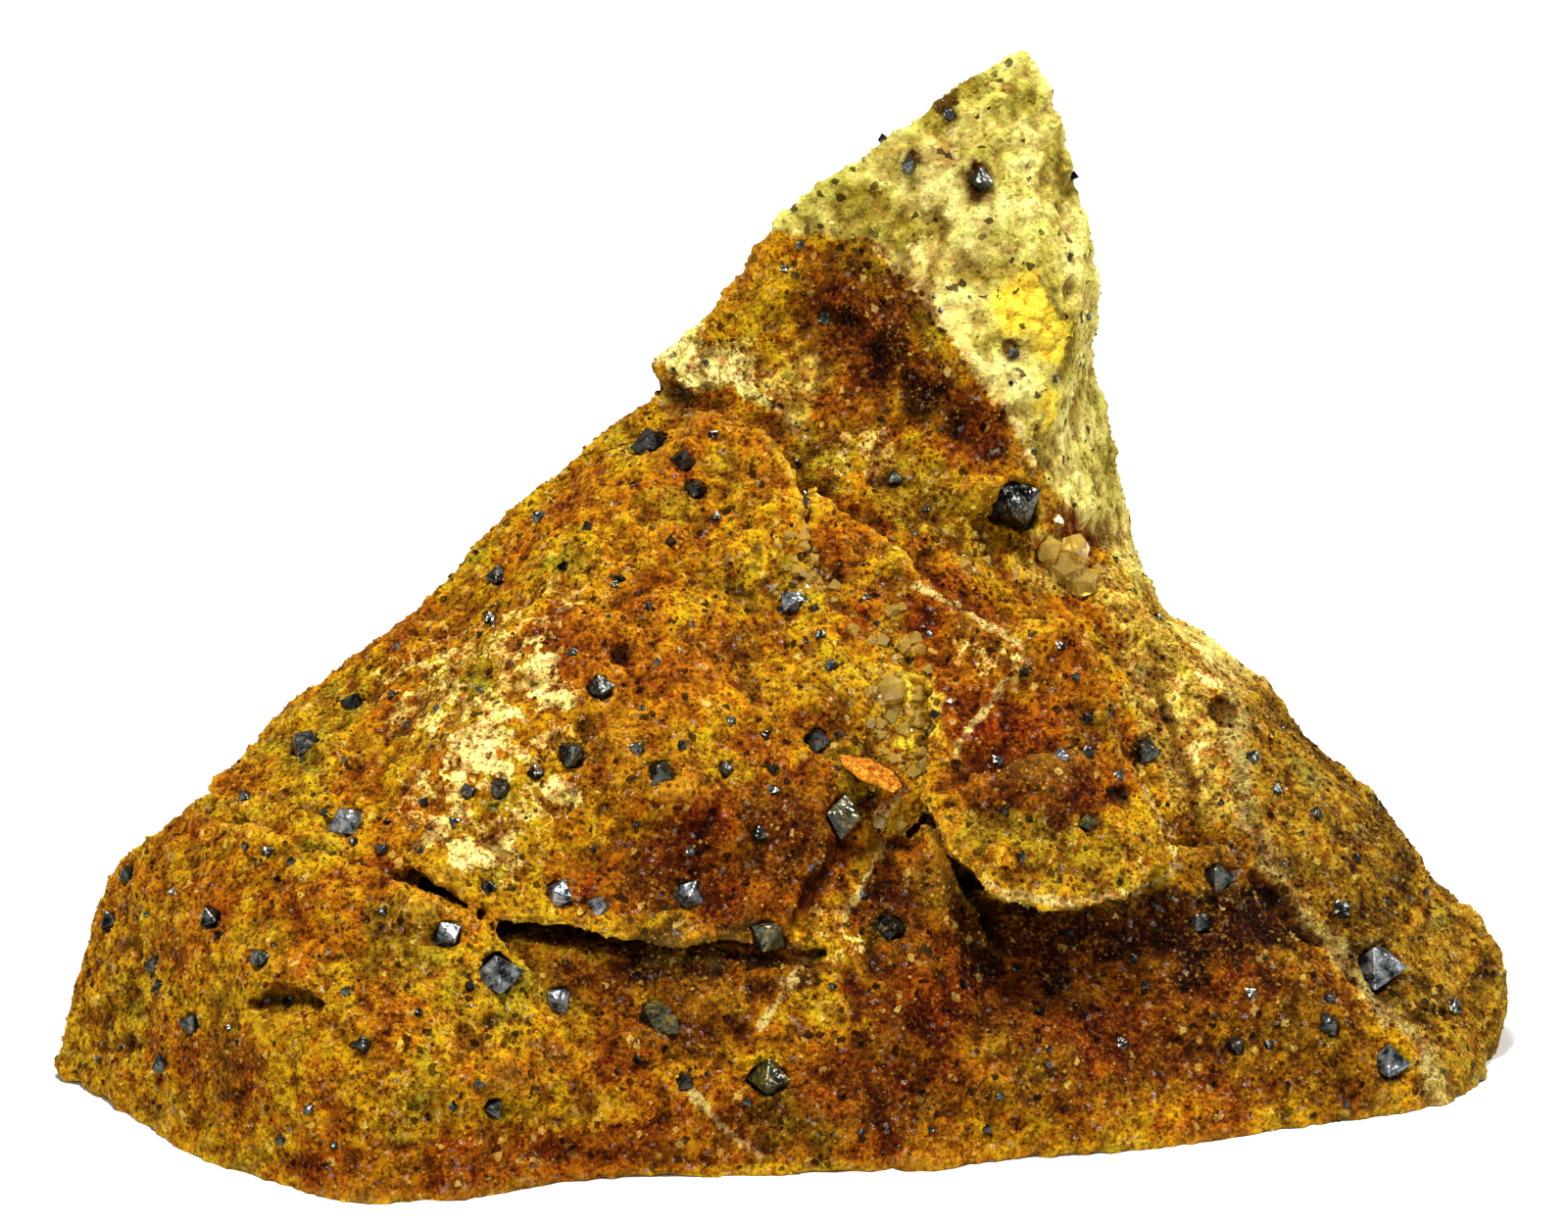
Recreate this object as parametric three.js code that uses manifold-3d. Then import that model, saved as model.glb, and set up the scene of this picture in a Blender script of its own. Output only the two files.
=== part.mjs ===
// A magnetite specimen: octahedral crystals seated in an iron-stained host rock.
// Millimetres, +Z up, front towards -Y. The origin lies on the base, under the middle.
import * as THREE from 'three';
import { ConvexGeometry } from 'three/addons/geometries/ConvexGeometry.js';
import { ImprovedNoise } from 'three/addons/math/ImprovedNoise.js';
import { mergeVertices } from 'three/addons/utils/BufferGeometryUtils.js';
import Module from 'manifold-3d';

const wasm = await Module();
wasm.setup();

// Driving dimensions. The rock is 47.8 wide; every place below is in the same millimetres.
const VIEW_TILT = THREE.MathUtils.degToRad(20); // the front view looks down by this much
const BELOW_BASE = 1.5; // the blocks run on below the base, and the flat cut takes this off
const LONGEST_EDGE = 2.5; // of a triangle on the front, the fineness of the broken surface
const LONGEST_EDGE_BEHIND = 4.8; // on the sides and back that the front view doesn't show
const BEHIND = { from: 17, to: 23 }; // level distance back over which the faces coarsen
const SEAT_GAP = 0.06; // between a crystal and its pocket in the rock
const GRAIN_GAP = 0.078; // between a quartz patch and its pocket, at a grain's corners
const SEAT_DEPTH = 0.22; // how far a crystal's middle lies under the surface, in radii
const RADIUS_PER_WIDTH = 0.6; // a turned octahedron looks narrower than its two radii
const LUMPS = { count: 30, least: 0.5, most: 1.2, flat: 0.38 }; // knobs fused to the rock
const PITS = { count: 14, least: 0.35, most: 0.7, flat: 0.8 }; // small hollows in the rock
const FRONT_SPAN = { across: 46, rise: 34 }; // the part of the view where those lie
const SEEDS = { lumps: 11, pits: 29, turns: 5 }; // of the repeatable random numbers

// Fracture relief: each octave moves the surface by up to its height over its length.
const FRACTURE_OCTAVES = [
  { length: 9.0, height: 0.75 },
  { length: 3.6, height: 0.5 },
  { length: 1.7, height: 0.3 },
];

// A place as the tilted front view shows it: right of the middle, up in the view, and
// level distance back from the nearest point of the rock.
function seen([across, rise, back]) {
  const height = (rise - back * Math.sin(VIEW_TILT)) / Math.cos(VIEW_TILT);
  return new THREE.Vector3(across, back, height);
}

// A place on the underside of a block, below the flat cut.
function foot([across, back]) {
  return new THREE.Vector3(across, back, -BELOW_BASE);
}

// The blocks that the rock broke into and that are still grown together. front: corners
// as seen. base: corners under the flat cut.
const BLOCKS = {
  // the mass behind all the others, its left edge the long slope up to the shoulder
  body: {
    front: [
      [-22.4, 9.8, 13.5], [-18.9, 13.3, 14.5], [-14.3, 16.4, 15.5], [-10.6, 20.8, 17],
      [-6.8, 23.0, 17.8], [-4.2, 26.6, 19], [-1.0, 25.0, 17.2], [3.6, 23.0, 16.4],
      [8.3, 21.6, 17.4], [11.6, 19.6, 17.6], [11.2, 21.4, 24], [3.2, 12.0, 11.2],
      [9.0, 11.5, 11.2], [13.9, 12.5, 13.5], [-8.0, 12.0, 9.5], [-17.0, 12.0, 27],
      [-4.0, 22.5, 28], [8.0, 20.0, 28],
    ],
    base: [
      [-18, 9], [-8, 6], [4, 7.6], [14, 9.6], [19, 12], [18, 24], [8, 29.6], [-4, 29.2],
      [-15, 24.5], [-21, 16],
    ],
  },
  // the tall pale peak, farthest back, its right flank almost upright
  peak: {
    front: [
      [-4.4, 27.5, 19], [-3.6, 28.4, 19.2], [-2.0, 30.0, 19.6], [0.1, 32.2, 20.2],
      [2.2, 34.2, 20.6], [4.0, 35.8, 21], [5.5, 36.9, 21.6], [7.6, 37.2, 22],
      [8.4, 36.2, 22.2], [8.5, 34.8, 22.6], [9.5, 32.9, 23.2], [9.9, 27.2, 23.8],
      [11.3, 21.4, 24], [2.9, 31.3, 19.5], [5.9, 27.6, 18.2], [8.4, 23.6, 17],
      [-1.2, 24.6, 18.6], [1.4, 22.0, 16.4], [5.2, 33.6, 25], [0.0, 27.0, 26.5],
      [8.0, 25.0, 27.5],
    ],
    base: [[2.5, 18.5], [9.5, 19], [10, 27], [0, 27.5]],
  },
  // the rusty upper left block, overhanging the foot at its lower edge
  brow: {
    front: [
      [-18.8, 13.4, 12.2], [-14.3, 16.6, 14.8], [-10.6, 20.8, 16.2], [-6.9, 23.1, 16.8],
      [-4.6, 25.1, 17.4], [-2.6, 26.0, 17.2], [-0.6, 25.3, 16.2], [0.6, 23.6, 15],
      [1.4, 20.2, 12.4], [2.4, 16.6, 9.8], [2.2, 12.4, 7.4], [0.0, 8.5, 5.2],
      [-3.0, 8.6, 4.7], [-6.8, 8.7, 4.3], [-9.1, 9.0, 4.5], [-11.5, 10.1, 5.2],
      [-14.4, 11.5, 6.7], [-16.8, 12.6, 8.8], [-10.2, 14.8, 8], [-4.8, 15.4, 7.9],
      [-5.0, 12.0, 15], [0.0, 10.6, 12],
    ],
    base: [],
  },
  // the big smooth lobe at the lower left, nearest of all
  lobe: {
    front: [
      [-19.2, 12.8, 11.4], [-16.9, 12.35, 8], [-14.5, 11.25, 6.2], [-11.5, 9.85, 4.7],
      [-9.0, 8.65, 4.1], [-22.5, 10.6, 12.4], [-22.8, 7.7, 11.8], [-22.8, 5.9, 11],
      [-23.6, 4.5, 11.2], [-19.3, 8.7, 6.4], [-21.4, 6.6, 8.4], [-16.2, 7.2, 3],
      [-12.8, 5.6, 1.5], [-9.6, 4.0, 1.1], [-7.4, 6.6, 3.4], [-5.8, 4.4, 2.9],
      [-18.0, 8.0, 17],
    ],
    base: [
      [-22.1, 9.6], [-19.2, 3.6], [-15.8, 1.9], [-14.4, -0.3], [-11.2, -0.4], [-7, 1.1],
      [-4.6, 2.2], [-6, 10], [-19, 17],
    ],
  },
  // the ledge under the overhang, running down to the front of the base
  ledge: {
    front: [
      [-9.4, 8.5, 4.7], [-5.0, 8.15, 4.75], [-0.4, 7.95, 5.3], [2.2, 7.2, 5.3],
      [-8.0, 9.2, 9], [1.6, 9.0, 9], [-6.4, 3.8, 2.4], [-2.0, 3.6, 2.7], [2.2, 3.4, 3.3],
    ],
    base: [[-8, 1.0], [-3.2, 2.5], [1.3, 3.0], [3.8, 2.2], [4.2, 10], [-8, 10]],
  },
  // the shallow saddle between the brow and the slab, which holds the left quartz patch
  saddle: {
    front: [
      [0.8, 23.4, 15.4], [1.5, 20.2, 12.8], [2.4, 16.8, 10.2], [2.3, 13.2, 8.2],
      [4.6, 20.8, 14.6], [5.0, 17.0, 11.5], [4.8, 14.0, 9.4], [3.5, 12.0, 8.7],
      [2.6, 20.0, 17.5], [3.0, 13.0, 13.5],
    ],
    base: [],
  },
  // the filled corner between the brow's lower right end and the rib
  gusset: {
    front: [
      [2.3, 13.0, 8.3], [0.2, 8.6, 5.8], [1.9, 8.2, 6.4], [2.6, 10.2, 7.5],
      [3.6, 11.8, 8.9], [1.4, 11.0, 12], [-0.4, 9.0, 9],
    ],
    base: [],
  },
  // the narrow raised lobe under the left end of the slab, edged by a pale ridge
  rib: {
    front: [
      [3.3, 11.3, 8.4], [2.4, 9.9, 7.2], [1.8, 8.0, 6.1], [1.8, 5.6, 4.7],
      [3.2, 4.4, 4.0], [6.3, 4.6, 4.8], [7.6, 6.4, 7.0], [6.8, 8.4, 8.4],
      [4.6, 8.2, 6.3], [4.8, 11.0, 9.2], [4.4, 8.6, 12],
    ],
    base: [[1.2, 3.4], [4.9, 2.1], [7.4, 4.4], [6.6, 11], [1.6, 11]],
  },
  // the broken foot at the lower right
  heel: {
    front: [
      [5.6, 8.3, 8.4], [9.6, 7.6, 8], [14.4, 8.6, 9.6], [17.7, 7.8, 10.2],
      [20.2, 4.9, 9.1], [5.0, 3.8, 3.8], [6.8, 4.2, 4.7], [12.8, 5.0, 7], [19.2, 4.0, 8],
      [9.6, 4.4, 5.9],
    ],
    base: [
      [3.8, 2.3], [4.9, 2.1], [7.4, 4.6], [10.6, 5.4], [13.0, 6.9], [17.3, 7], [20.4, 7.3],
      [22.1, 8.2], [18, 14], [5, 12],
    ],
  },
  // the crumbly slope that rises from the foot to under the slab's lip
  apron: {
    front: [
      [5.2, 7.6, 7.8], [9.6, 6.9, 7.5], [14.2, 7.8, 9.2], [17.4, 7.4, 10.0],
      [6.2, 10.4, 9.8], [9.6, 10.3, 9.8], [12.8, 11.2, 10.8], [14.6, 11.2, 11.5],
      [6.0, 9.0, 13], [14.6, 10.0, 14],
    ],
    base: [],
  },
  // the web of rock between the rib and the left edge of the slab
  web: {
    front: [
      [3.2, 11.6, 8.5], [4.5, 12.9, 8.8], [5.3, 11.3, 8.3], [6.3, 9.6, 8.7],
      [6.9, 8.0, 8.2], [4.9, 8.4, 6.8], [4.2, 10.4, 7.7], [4.0, 11.6, 12], [6.8, 9.4, 12],
    ],
    base: [],
  },
  // the right wing, its face turned away to the right and back
  wing: {
    front: [
      [13.8, 17.9, 22.4], [15.4, 15.9, 20.8], [18.8, 12.9, 19], [20.7, 11.4, 18],
      [22.7, 9.1, 16], [23.8, 7.5, 14.8], [23.8, 6.3, 14.4], [22.4, 4.4, 13],
      [22.2, 3.2, 9.6], [13.6, 17.6, 16.4], [14.5, 13.2, 13.9], [15.7, 10.5, 11.9],
      [17.7, 8.0, 10.6], [19.6, 5.7, 9.6], [21.2, 3.8, 8.7], [11.4, 19.8, 23.6],
      [11.4, 19.4, 17.4], [11.0, 13.0, 14.4],
    ],
    base: [[22.2, 8.2], [23, 13.6], [20.6, 20], [14, 26], [9, 18], [16, 9.4]],
  },
  // the slab on the front face: a leaning plate whose lower lip stands out
  slab: {
    front: [
      [5.6, 19.4, 13], [7.0, 18.6, 11.9], [8.9, 19.2, 12.3], [9.7, 18.9, 12.4],
      [10.6, 17.2, 11.4], [11.0, 14.9, 10], [4.6, 16.7, 10.3], [4.4, 13.3, 7.9],
      [11.2, 13.2, 14.4], [6.2, 17.4, 16], [4.8, 13.0, 12],
    ],
    base: [],
  },
  lip: {
    front: [
      [4.4, 13.4, 7.8], [5.2, 11.5, 6.4], [6.6, 10.4, 5.5], [8.0, 9.9, 5.3],
      [9.5, 9.7, 5.5], [11.5, 10.2, 6.5], [12.7, 10.9, 7.7], [12.6, 12.0, 8.2],
      [11.7, 13.8, 9.3], [11.0, 14.9, 9.9], [7.6, 14.6, 8.3], [8.6, 12.0, 6.4],
      [5.6, 12.2, 10.6], [11.6, 12.6, 12.4],
    ],
    base: [],
  },
  // the thin upper strip of the slab, on the left of its top
  strip: {
    front: [
      [4.0, 20.8, 14.4], [4.9, 20.2, 13.8], [6.9, 18.7, 12], [6.6, 17.0, 11],
      [4.5, 17.0, 10.9], [4.1, 19.0, 13], [4.4, 20.4, 16.6], [6.8, 18.4, 15.4],
    ],
    base: [],
  },
};

// Broken-out places: each is a wedge along a line of [across, rise, back, width, depth].
const CRACKS = {
  brow_crack: [
    [-19.0, 13.1, 12, 0.1, 0.8], [-16.8, 12.5, 8.6, 0.12, 1.2],
    [-14.4, 11.4, 6.5, 0.14, 1.3], [-11.5, 10.0, 4.9, 0.14, 1.3],
    [-9.1, 8.8, 4.2, 0.12, 1.2],
  ],
  lobe_pit: [
    [-17.6, 6.4, 3.9, 0.5, 0.7], [-16.4, 6.6, 3.2, 0.9, 1.3], [-14.8, 6.4, 2.6, 0.4, 0.6],
  ],
};

// Broken-out hollows, by corners as seen: a rim in front of the surface and a floor in it.
const HOLLOWS = {
  below_peak: [
    [-0.6, 31.0, 16.6], [2.8, 31.4, 17], [6.2, 27.2, 15], [6.4, 22.8, 13.5], [0.6, 24.2, 14.2],
    [0.8, 29.2, 19.2], [2.8, 28.2, 18.7], [4.4, 25.2, 17.0], [2.6, 25.6, 17.4],
  ],
  above_brow: [
    [-3.6, 28.2, 16], [-1.4, 29.2, 16], [0.0, 26.6, 14.6], [-2.2, 26.6, 15],
    [-2.4, 27.8, 19.2], [-0.6, 27.6, 18.8],
  ],
};

// Magnetite crystals, as [across, rise, width]. Those in one row have grown together.
const CRYSTALS = [
  [[-9.4, 20.3, 0.8]], [[-6.0, 16.7, 0.95]], [[-14.1, 16.2, 0.85]], [[-15.7, 14.9, 1.05]],
  [[-6.9, 14.5, 0.95]], [[-4.8, 14.7, 0.6]], [[-4.0, 13.9, 0.95]], [[-8.1, 13.9, 0.6]],
  [[1.1, 15.0, 0.9]], [[-1.9, 14.0, 0.55]], [[-4.4, 24.7, 1.3]], [[-3.3, 24.1, 0.8]],
  [[-2.9, 23.2, 0.65]], [[3.6, 23.5, 0.6]], [[1.3, 28.7, 0.6]], [[0.2, 19.5, 0.8]],
  [[1.0, 19.2, 0.6]], [[1.5, 17.4, 0.6]], [[7.5, 22.6, 1.8]], [[-14.3, 12.4, 1.2]],
  [[-13.1, 11.4, 0.55]], [[-17.6, 13.1, 0.6]], [[-10.3, 13.3, 0.6]], [[-9.2, 13.4, 0.75]],
  [[-10.7, 12.3, 0.55]], [[-9.6, 10.2, 0.55]], [[-7.3, 10.0, 0.95]], [[-6.0, 9.6, 0.75]],
  [[-3.1, 9.9, 1.0]], [[-0.8, 11.9, 0.65]], [[2.0, 12.5, 1.35]], [[-21.5, 10.6, 0.7]],
  [[-22.1, 9.0, 0.8]], [[-18.7, 9.2, 0.8]], [[-20.6, 7.6, 0.7]], [[-17.1, 7.9, 0.75]],
  [[-19.4, 5.7, 0.8]], [[-20.3, 4.4, 0.8]], [[-13.7, 5.1, 0.6]], [[-10.9, 8.7, 0.95]],
  [[-9.2, 7.4, 1.5]], [[-7.4, 6.5, 1.1]], [[-4.2, 6.1, 1.1], [-3.7, 5.8, 0.9]],
  [[-0.5, 4.0, 1.25]], [[-0.5, 8.6, 1.2]], [[-9.4, 3.0, 0.8]], [[-3.2, 3.9, 0.7]],
  [[9.0, 14.4, 0.7]], [[9.9, 12.3, 0.65]], [[11.8, 14.6, 1.0]], [[3.4, 8.9, 1.0]],
  [[14.2, 10.5, 1.1]], [[13.6, 9.0, 0.8]], [[14.7, 5.0, 0.65]], [[17.8, 5.7, 0.8]],
  [[19.8, 4.4, 1.3]], [[19.5, 7.6, 1.7]],
];

// Glassy honey-coloured quartz, as rounded grains [across, rise, width] grown together.
const QUARTZ_PATCHES = {
  quartz_patch_left: [
    [3.5, 16.6, 1.1], [3.3, 15.7, 1.2], [3.7, 14.9, 1.1], [3.0, 16.3, 0.8], [3.2, 15.0, 0.8],
  ],
  quartz_patch_top: [
    [9.2, 20.6, 1.4], [8.7, 21.1, 1.1], [9.7, 20.1, 1.2], [9.5, 21.2, 1.1],
  ],
};

const ROCK_FINISH = { color: 0xa86a14, roughness: 0.92, metalness: 0.0 };
const MAGNETITE_FINISH = { color: 0x2c2f2a, roughness: 0.35, metalness: 0.75 };
const QUARTZ_FINISH = { color: 0xb99a45, roughness: 0.3, metalness: 0.0 };

// Solids from geometry, and back.

function toSolid(geometry) {
  const bare = geometry.clone();
  bare.deleteAttribute('normal');
  bare.deleteAttribute('uv');
  const merged = mergeVertices(bare, 1e-5);
  return new wasm.Manifold(new wasm.Mesh({
    numProp: 3,
    vertProperties: new Float32Array(merged.attributes.position.array),
    triVerts: new Uint32Array(merged.index.array),
  }));
}

function toGeometry(solid) {
  const mesh = solid.getMesh();
  const geometry = new THREE.BufferGeometry();
  geometry.setAttribute('position', new THREE.BufferAttribute(mesh.vertProperties, 3));
  geometry.setIndex(new THREE.BufferAttribute(mesh.triVerts, 1));
  geometry.computeVertexNormals();
  return geometry;
}

function hull(points) {
  return toSolid(new ConvexGeometry(points));
}

// The blocks, joined.
function joinedBlocks() {
  let rock = null;
  for (const { front, base } of Object.values(BLOCKS)) {
    const block = hull([...front.map(seen), ...base.map(foot)]);
    rock = rock ? rock.add(block) : block;
  }
  return rock;
}

// Every edge longer than its limit is halved, again and again, so that neighbours match.
function refined(geometry, limitAt) {
  const points = [];
  const position = geometry.attributes.position;
  for (let i = 0; i < position.count; i += 1) {
    points.push(new THREE.Vector3().fromBufferAttribute(position, i));
  }
  let faces = [];
  for (let i = 0; i < geometry.index.count; i += 3) {
    faces.push([0, 1, 2].map((k) => geometry.index.getX(i + k)));
  }
  for (let halved = true; halved;) {
    halved = false;
    const middles = new Map();
    const middle = (a, b) => {
      const key = a < b ? `${a} ${b}` : `${b} ${a}`;
      if (!middles.has(key)) {
        const centre = points[a].clone().lerp(points[b], 0.5);
        const long = points[a].distanceTo(points[b]) > limitAt(centre);
        middles.set(key, long ? points.push(centre) - 1 : null);
        halved = halved || long;
      }
      return middles.get(key);
    };
    faces = faces.flatMap((face) => splitFace(face, middle, points));
  }
  const fine = new THREE.BufferGeometry();
  const flat = points.flatMap((point) => point.toArray());
  fine.setAttribute('position', new THREE.Float32BufferAttribute(flat, 3));
  fine.setIndex(faces.flat());
  return fine;
}

// One triangle, cut in 1 to 4 by the middles of its long edges.
function splitFace([a, b, c], middle, points) {
  const [ab, bc, ca] = [middle(a, b), middle(b, c), middle(c, a)];
  const count = [ab, bc, ca].filter((cut) => cut !== null).length;
  if (count === 0) {
    return [[a, b, c]];
  }
  if (count === 3) {
    return [[a, ab, ca], [ab, b, bc], [ca, bc, c], [ab, bc, ca]];
  }
  if (ab === null) {
    return splitFace([b, c, a], middle, points);
  }
  if (count === 1) {
    return [[a, ab, c], [ab, b, c]];
  }
  if (bc === null) {
    return splitFace([c, a, b], middle, points);
  }
  const acrossA = points[ab].distanceTo(points[c]) > points[a].distanceTo(points[bc]);
  const quad = acrossA ? [[a, ab, bc], [a, bc, c]] : [[a, ab, c], [ab, bc, c]];
  return [[ab, b, bc], ...quad];
}

// The limit on a triangle's edge: fine on what the front view shows, coarser behind.
function edgeLimit(point) {
  const behind = THREE.MathUtils.smoothstep(point.y, BEHIND.from, BEHIND.to);
  const low = point.z < 0 ? 1 : 0;
  return THREE.MathUtils.lerp(LONGEST_EDGE, LONGEST_EDGE_BEHIND, Math.max(behind, low));
}

// Rough fracture: the surface is pushed about by three octaves of smooth noise.
const noise = new ImprovedNoise();
const NOISE_AXES = [[0, 0, 0], [31.4, 11.8, 5.2], [7.7, 53.1, 23.9]];

function fractured(geometry) {
  const position = geometry.attributes.position;
  const point = new THREE.Vector3();
  for (let i = 0; i < position.count; i += 1) {
    point.fromBufferAttribute(position, i);
    const shift = NOISE_AXES.map(([dx, dy, dz]) => FRACTURE_OCTAVES.reduce(
      (sum, { length, height }) => sum
        + height * noise.noise(point.x / length + dx, point.y / length + dy, point.z / length + dz),
      0,
    ));
    point.add(new THREE.Vector3(...shift));
    position.setXYZ(i, point.x, point.y, point.z);
  }
  return geometry;
}

// A wedge-shaped cut along a line on the surface, from just outside it inwards.
function crackSolid(line) {
  const OUTSIDE = 1.2;
  let cut = null;
  const ring = ([across, rise, back, width, depth]) => [
    seen([across, rise + width, back - OUTSIDE]),
    seen([across, rise - width, back - OUTSIDE]),
    seen([across, rise, back + depth]),
  ];
  for (let i = 1; i < line.length; i += 1) {
    const piece = hull([...ring(line[i - 1]), ...ring(line[i])]);
    cut = cut ? cut.add(piece) : piece;
  }
  return cut;
}

// The surface as the front view meets it at a place.
const LOOK = new THREE.Vector3(0, Math.cos(VIEW_TILT), -Math.sin(VIEW_TILT));
const IN_FRONT = -40;

function surfaceAt(surface, across, rise) {
  const ray = new THREE.Raycaster(seen([across, rise, IN_FRONT]), LOOK);
  const [hit] = ray.intersectObject(surface);
  return hit ? { point: hit.point, normal: hit.face.normal } : null;
}

function surfaceOf(solid) {
  return new THREE.Mesh(toGeometry(solid), new THREE.MeshStandardMaterial());
}

// Repeatable random numbers from 0 to 1.
function randomFrom(seed) {
  let state = seed;
  return () => {
    state = (state * 1664525 + 1013904223) % 4294967296;
    return state / 4294967296;
  };
}

function randomTurn(random) {
  const [u, v, w] = [random(), random(), random()];
  const turn = new THREE.Euler(u * Math.PI * 2, v * Math.PI * 2, w * Math.PI * 2);
  return new THREE.Matrix4().makeRotationFromEuler(turn);
}

// An octahedron seated at a place, and the pocket that holds it: the same, a gap larger.
function crystalAndPocket(surface, [across, rise, width], random) {
  const { point, normal } = surfaceAt(surface, across, rise);
  const radius = width * RADIUS_PER_WIDTH;
  const place = point.clone().addScaledVector(normal, -radius * SEAT_DEPTH);
  const turn = randomTurn(random).setPosition(place);
  const octahedron = (size) => toSolid(new THREE.OctahedronGeometry(size).applyMatrix4(turn));
  return [octahedron(radius), octahedron(radius + SEAT_GAP * Math.sqrt(3))];
}

// A rounded quartz grain at a place as seen, and its pocket.
function grainAndPocket([across, rise, width], back, random) {
  const turn = randomTurn(random).setPosition(seen([across, rise, back]));
  const grain = (size) => toSolid(new THREE.IcosahedronGeometry(size).applyMatrix4(turn));
  return [grain(width / 2), grain(width / 2 + GRAIN_GAP)];
}

// One solid, and one pocket, of everything in a row.
function grownTogether(row, make) {
  const pairs = row.map(make);
  return pairs.reduce(([piece, pocket], [one, hole]) => [piece.add(one), pocket.add(hole)]);
}

// Flattened knobs or hollows scattered over the front, lying along the surface.
function scattered(surface, { count, least, most, flat }, seed) {
  const random = randomFrom(seed);
  const solids = [];
  while (solids.length < count) {
    const across = (random() - 0.5) * FRONT_SPAN.across;
    const rise = random() * FRONT_SPAN.rise;
    const size = THREE.MathUtils.lerp(least, most, random());
    const hit = surfaceAt(surface, across, rise);
    if (hit && hit.point.z > most * 2) {
      const knob = new THREE.IcosahedronGeometry(size).scale(1, 1, flat);
      const up = new THREE.Quaternion().setFromUnitVectors(new THREE.Vector3(0, 0, 1), hit.normal);
      knob.applyQuaternion(up).translate(...hit.point.toArray());
      solids.push(toSolid(knob));
    }
  }
  return solids;
}

function flatCut() {
  const SIDE = 200;
  const slab = new THREE.BoxGeometry(SIDE, SIDE, SIDE);
  slab.translate(0, 0, -SIDE / 2);
  return toSolid(slab);
}

function hostRock() {
  let solid = joinedBlocks();
  for (const corners of Object.values(HOLLOWS)) {
    solid = solid.subtract(hull(corners.map(seen)));
  }
  solid = toSolid(fractured(refined(toGeometry(solid), edgeLimit)));
  for (const line of Object.values(CRACKS)) {
    solid = solid.subtract(crackSolid(line));
  }
  const surface = surfaceOf(solid);
  for (const lump of scattered(surface, LUMPS, SEEDS.lumps)) {
    solid = solid.add(lump);
  }
  for (const pit of scattered(surface, PITS, SEEDS.pits)) {
    solid = solid.subtract(pit);
  }
  return withoutCrumbs(solid.subtract(flatCut()));
}

// The largest body that the cuts leave; loose crumbs are dropped.
function withoutCrumbs(solid) {
  return solid.decompose().reduce((a, b) => (a.volume() > b.volume() ? a : b));
}

const specimen = new THREE.Group();

function addPiece(name, solid, finish) {
  const material = new THREE.MeshStandardMaterial({ ...finish, flatShading: true });
  const mesh = new THREE.Mesh(toGeometry(solid), material);
  mesh.name = name;
  specimen.add(mesh);
}

let rock = hostRock();
const surface = surfaceOf(rock);
const random = randomFrom(SEEDS.turns);

CRYSTALS.forEach((row, index) => {
  const make = (place) => crystalAndPocket(surface, place, random);
  const [crystal, pocket] = grownTogether(row, make);
  rock = rock.subtract(pocket);
  addPiece(`magnetite_crystal_${String(index + 1).padStart(2, '0')}`, crystal, MAGNETITE_FINISH);
});

for (const [name, row] of Object.entries(QUARTZ_PATCHES)) {
  const [[across, rise]] = row;
  const back = surfaceAt(surface, across, rise).point.y;
  const [patch, pocket] = grownTogether(row, (place) => grainAndPocket(place, back, random));
  rock = rock.subtract(pocket);
  addPiece(name, patch, QUARTZ_FINISH);
}

addPiece('host_rock', withoutCrumbs(rock), ROCK_FINISH);

const box = new THREE.Box3().setFromObject(specimen);
const middle = box.getCenter(new THREE.Vector3());
specimen.position.set(-middle.x, -middle.y, 0);

export default specimen;
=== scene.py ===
"""Dresses a magnetite specimen: octahedral magnetite crystals in an iron-stained host rock.

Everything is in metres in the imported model's frame: +X right, +Y back, +Z up, base at Z 0.
Places on the front are given in millimetres as the tilted front view shows them: across
(right of the middle) and rise (up in that view). A ray from the viewer finds the surface.
"""

import logging
import math
from collections.abc import Callable, Sequence
from dataclasses import dataclass
from enum import Enum
from typing import ClassVar

import bmesh
import bpy
import numpy as np
from mathutils import Euler, Matrix, Vector, noise
from mathutils.bvhtree import BVHTree


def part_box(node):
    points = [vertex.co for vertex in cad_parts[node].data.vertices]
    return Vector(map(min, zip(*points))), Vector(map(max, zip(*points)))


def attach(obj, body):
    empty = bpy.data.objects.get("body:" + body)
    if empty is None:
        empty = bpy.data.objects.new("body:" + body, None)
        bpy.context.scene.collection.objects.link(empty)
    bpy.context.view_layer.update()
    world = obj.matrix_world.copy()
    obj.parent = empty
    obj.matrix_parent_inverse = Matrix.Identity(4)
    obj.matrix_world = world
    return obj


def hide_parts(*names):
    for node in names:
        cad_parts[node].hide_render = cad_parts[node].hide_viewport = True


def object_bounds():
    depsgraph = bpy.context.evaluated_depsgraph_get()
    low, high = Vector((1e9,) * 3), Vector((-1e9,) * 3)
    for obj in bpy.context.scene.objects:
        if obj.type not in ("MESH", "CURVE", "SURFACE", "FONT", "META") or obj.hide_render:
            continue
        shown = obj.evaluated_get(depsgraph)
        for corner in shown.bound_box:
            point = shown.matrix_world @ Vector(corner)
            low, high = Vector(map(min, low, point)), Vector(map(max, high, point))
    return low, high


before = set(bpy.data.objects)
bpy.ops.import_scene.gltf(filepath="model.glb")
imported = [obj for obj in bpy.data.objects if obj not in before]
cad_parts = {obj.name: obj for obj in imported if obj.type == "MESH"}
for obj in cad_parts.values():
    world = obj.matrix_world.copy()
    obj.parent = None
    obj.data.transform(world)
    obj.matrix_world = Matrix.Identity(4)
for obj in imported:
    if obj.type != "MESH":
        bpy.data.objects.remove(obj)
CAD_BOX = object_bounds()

log = logging.getLogger("magnetite_specimen")

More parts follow.
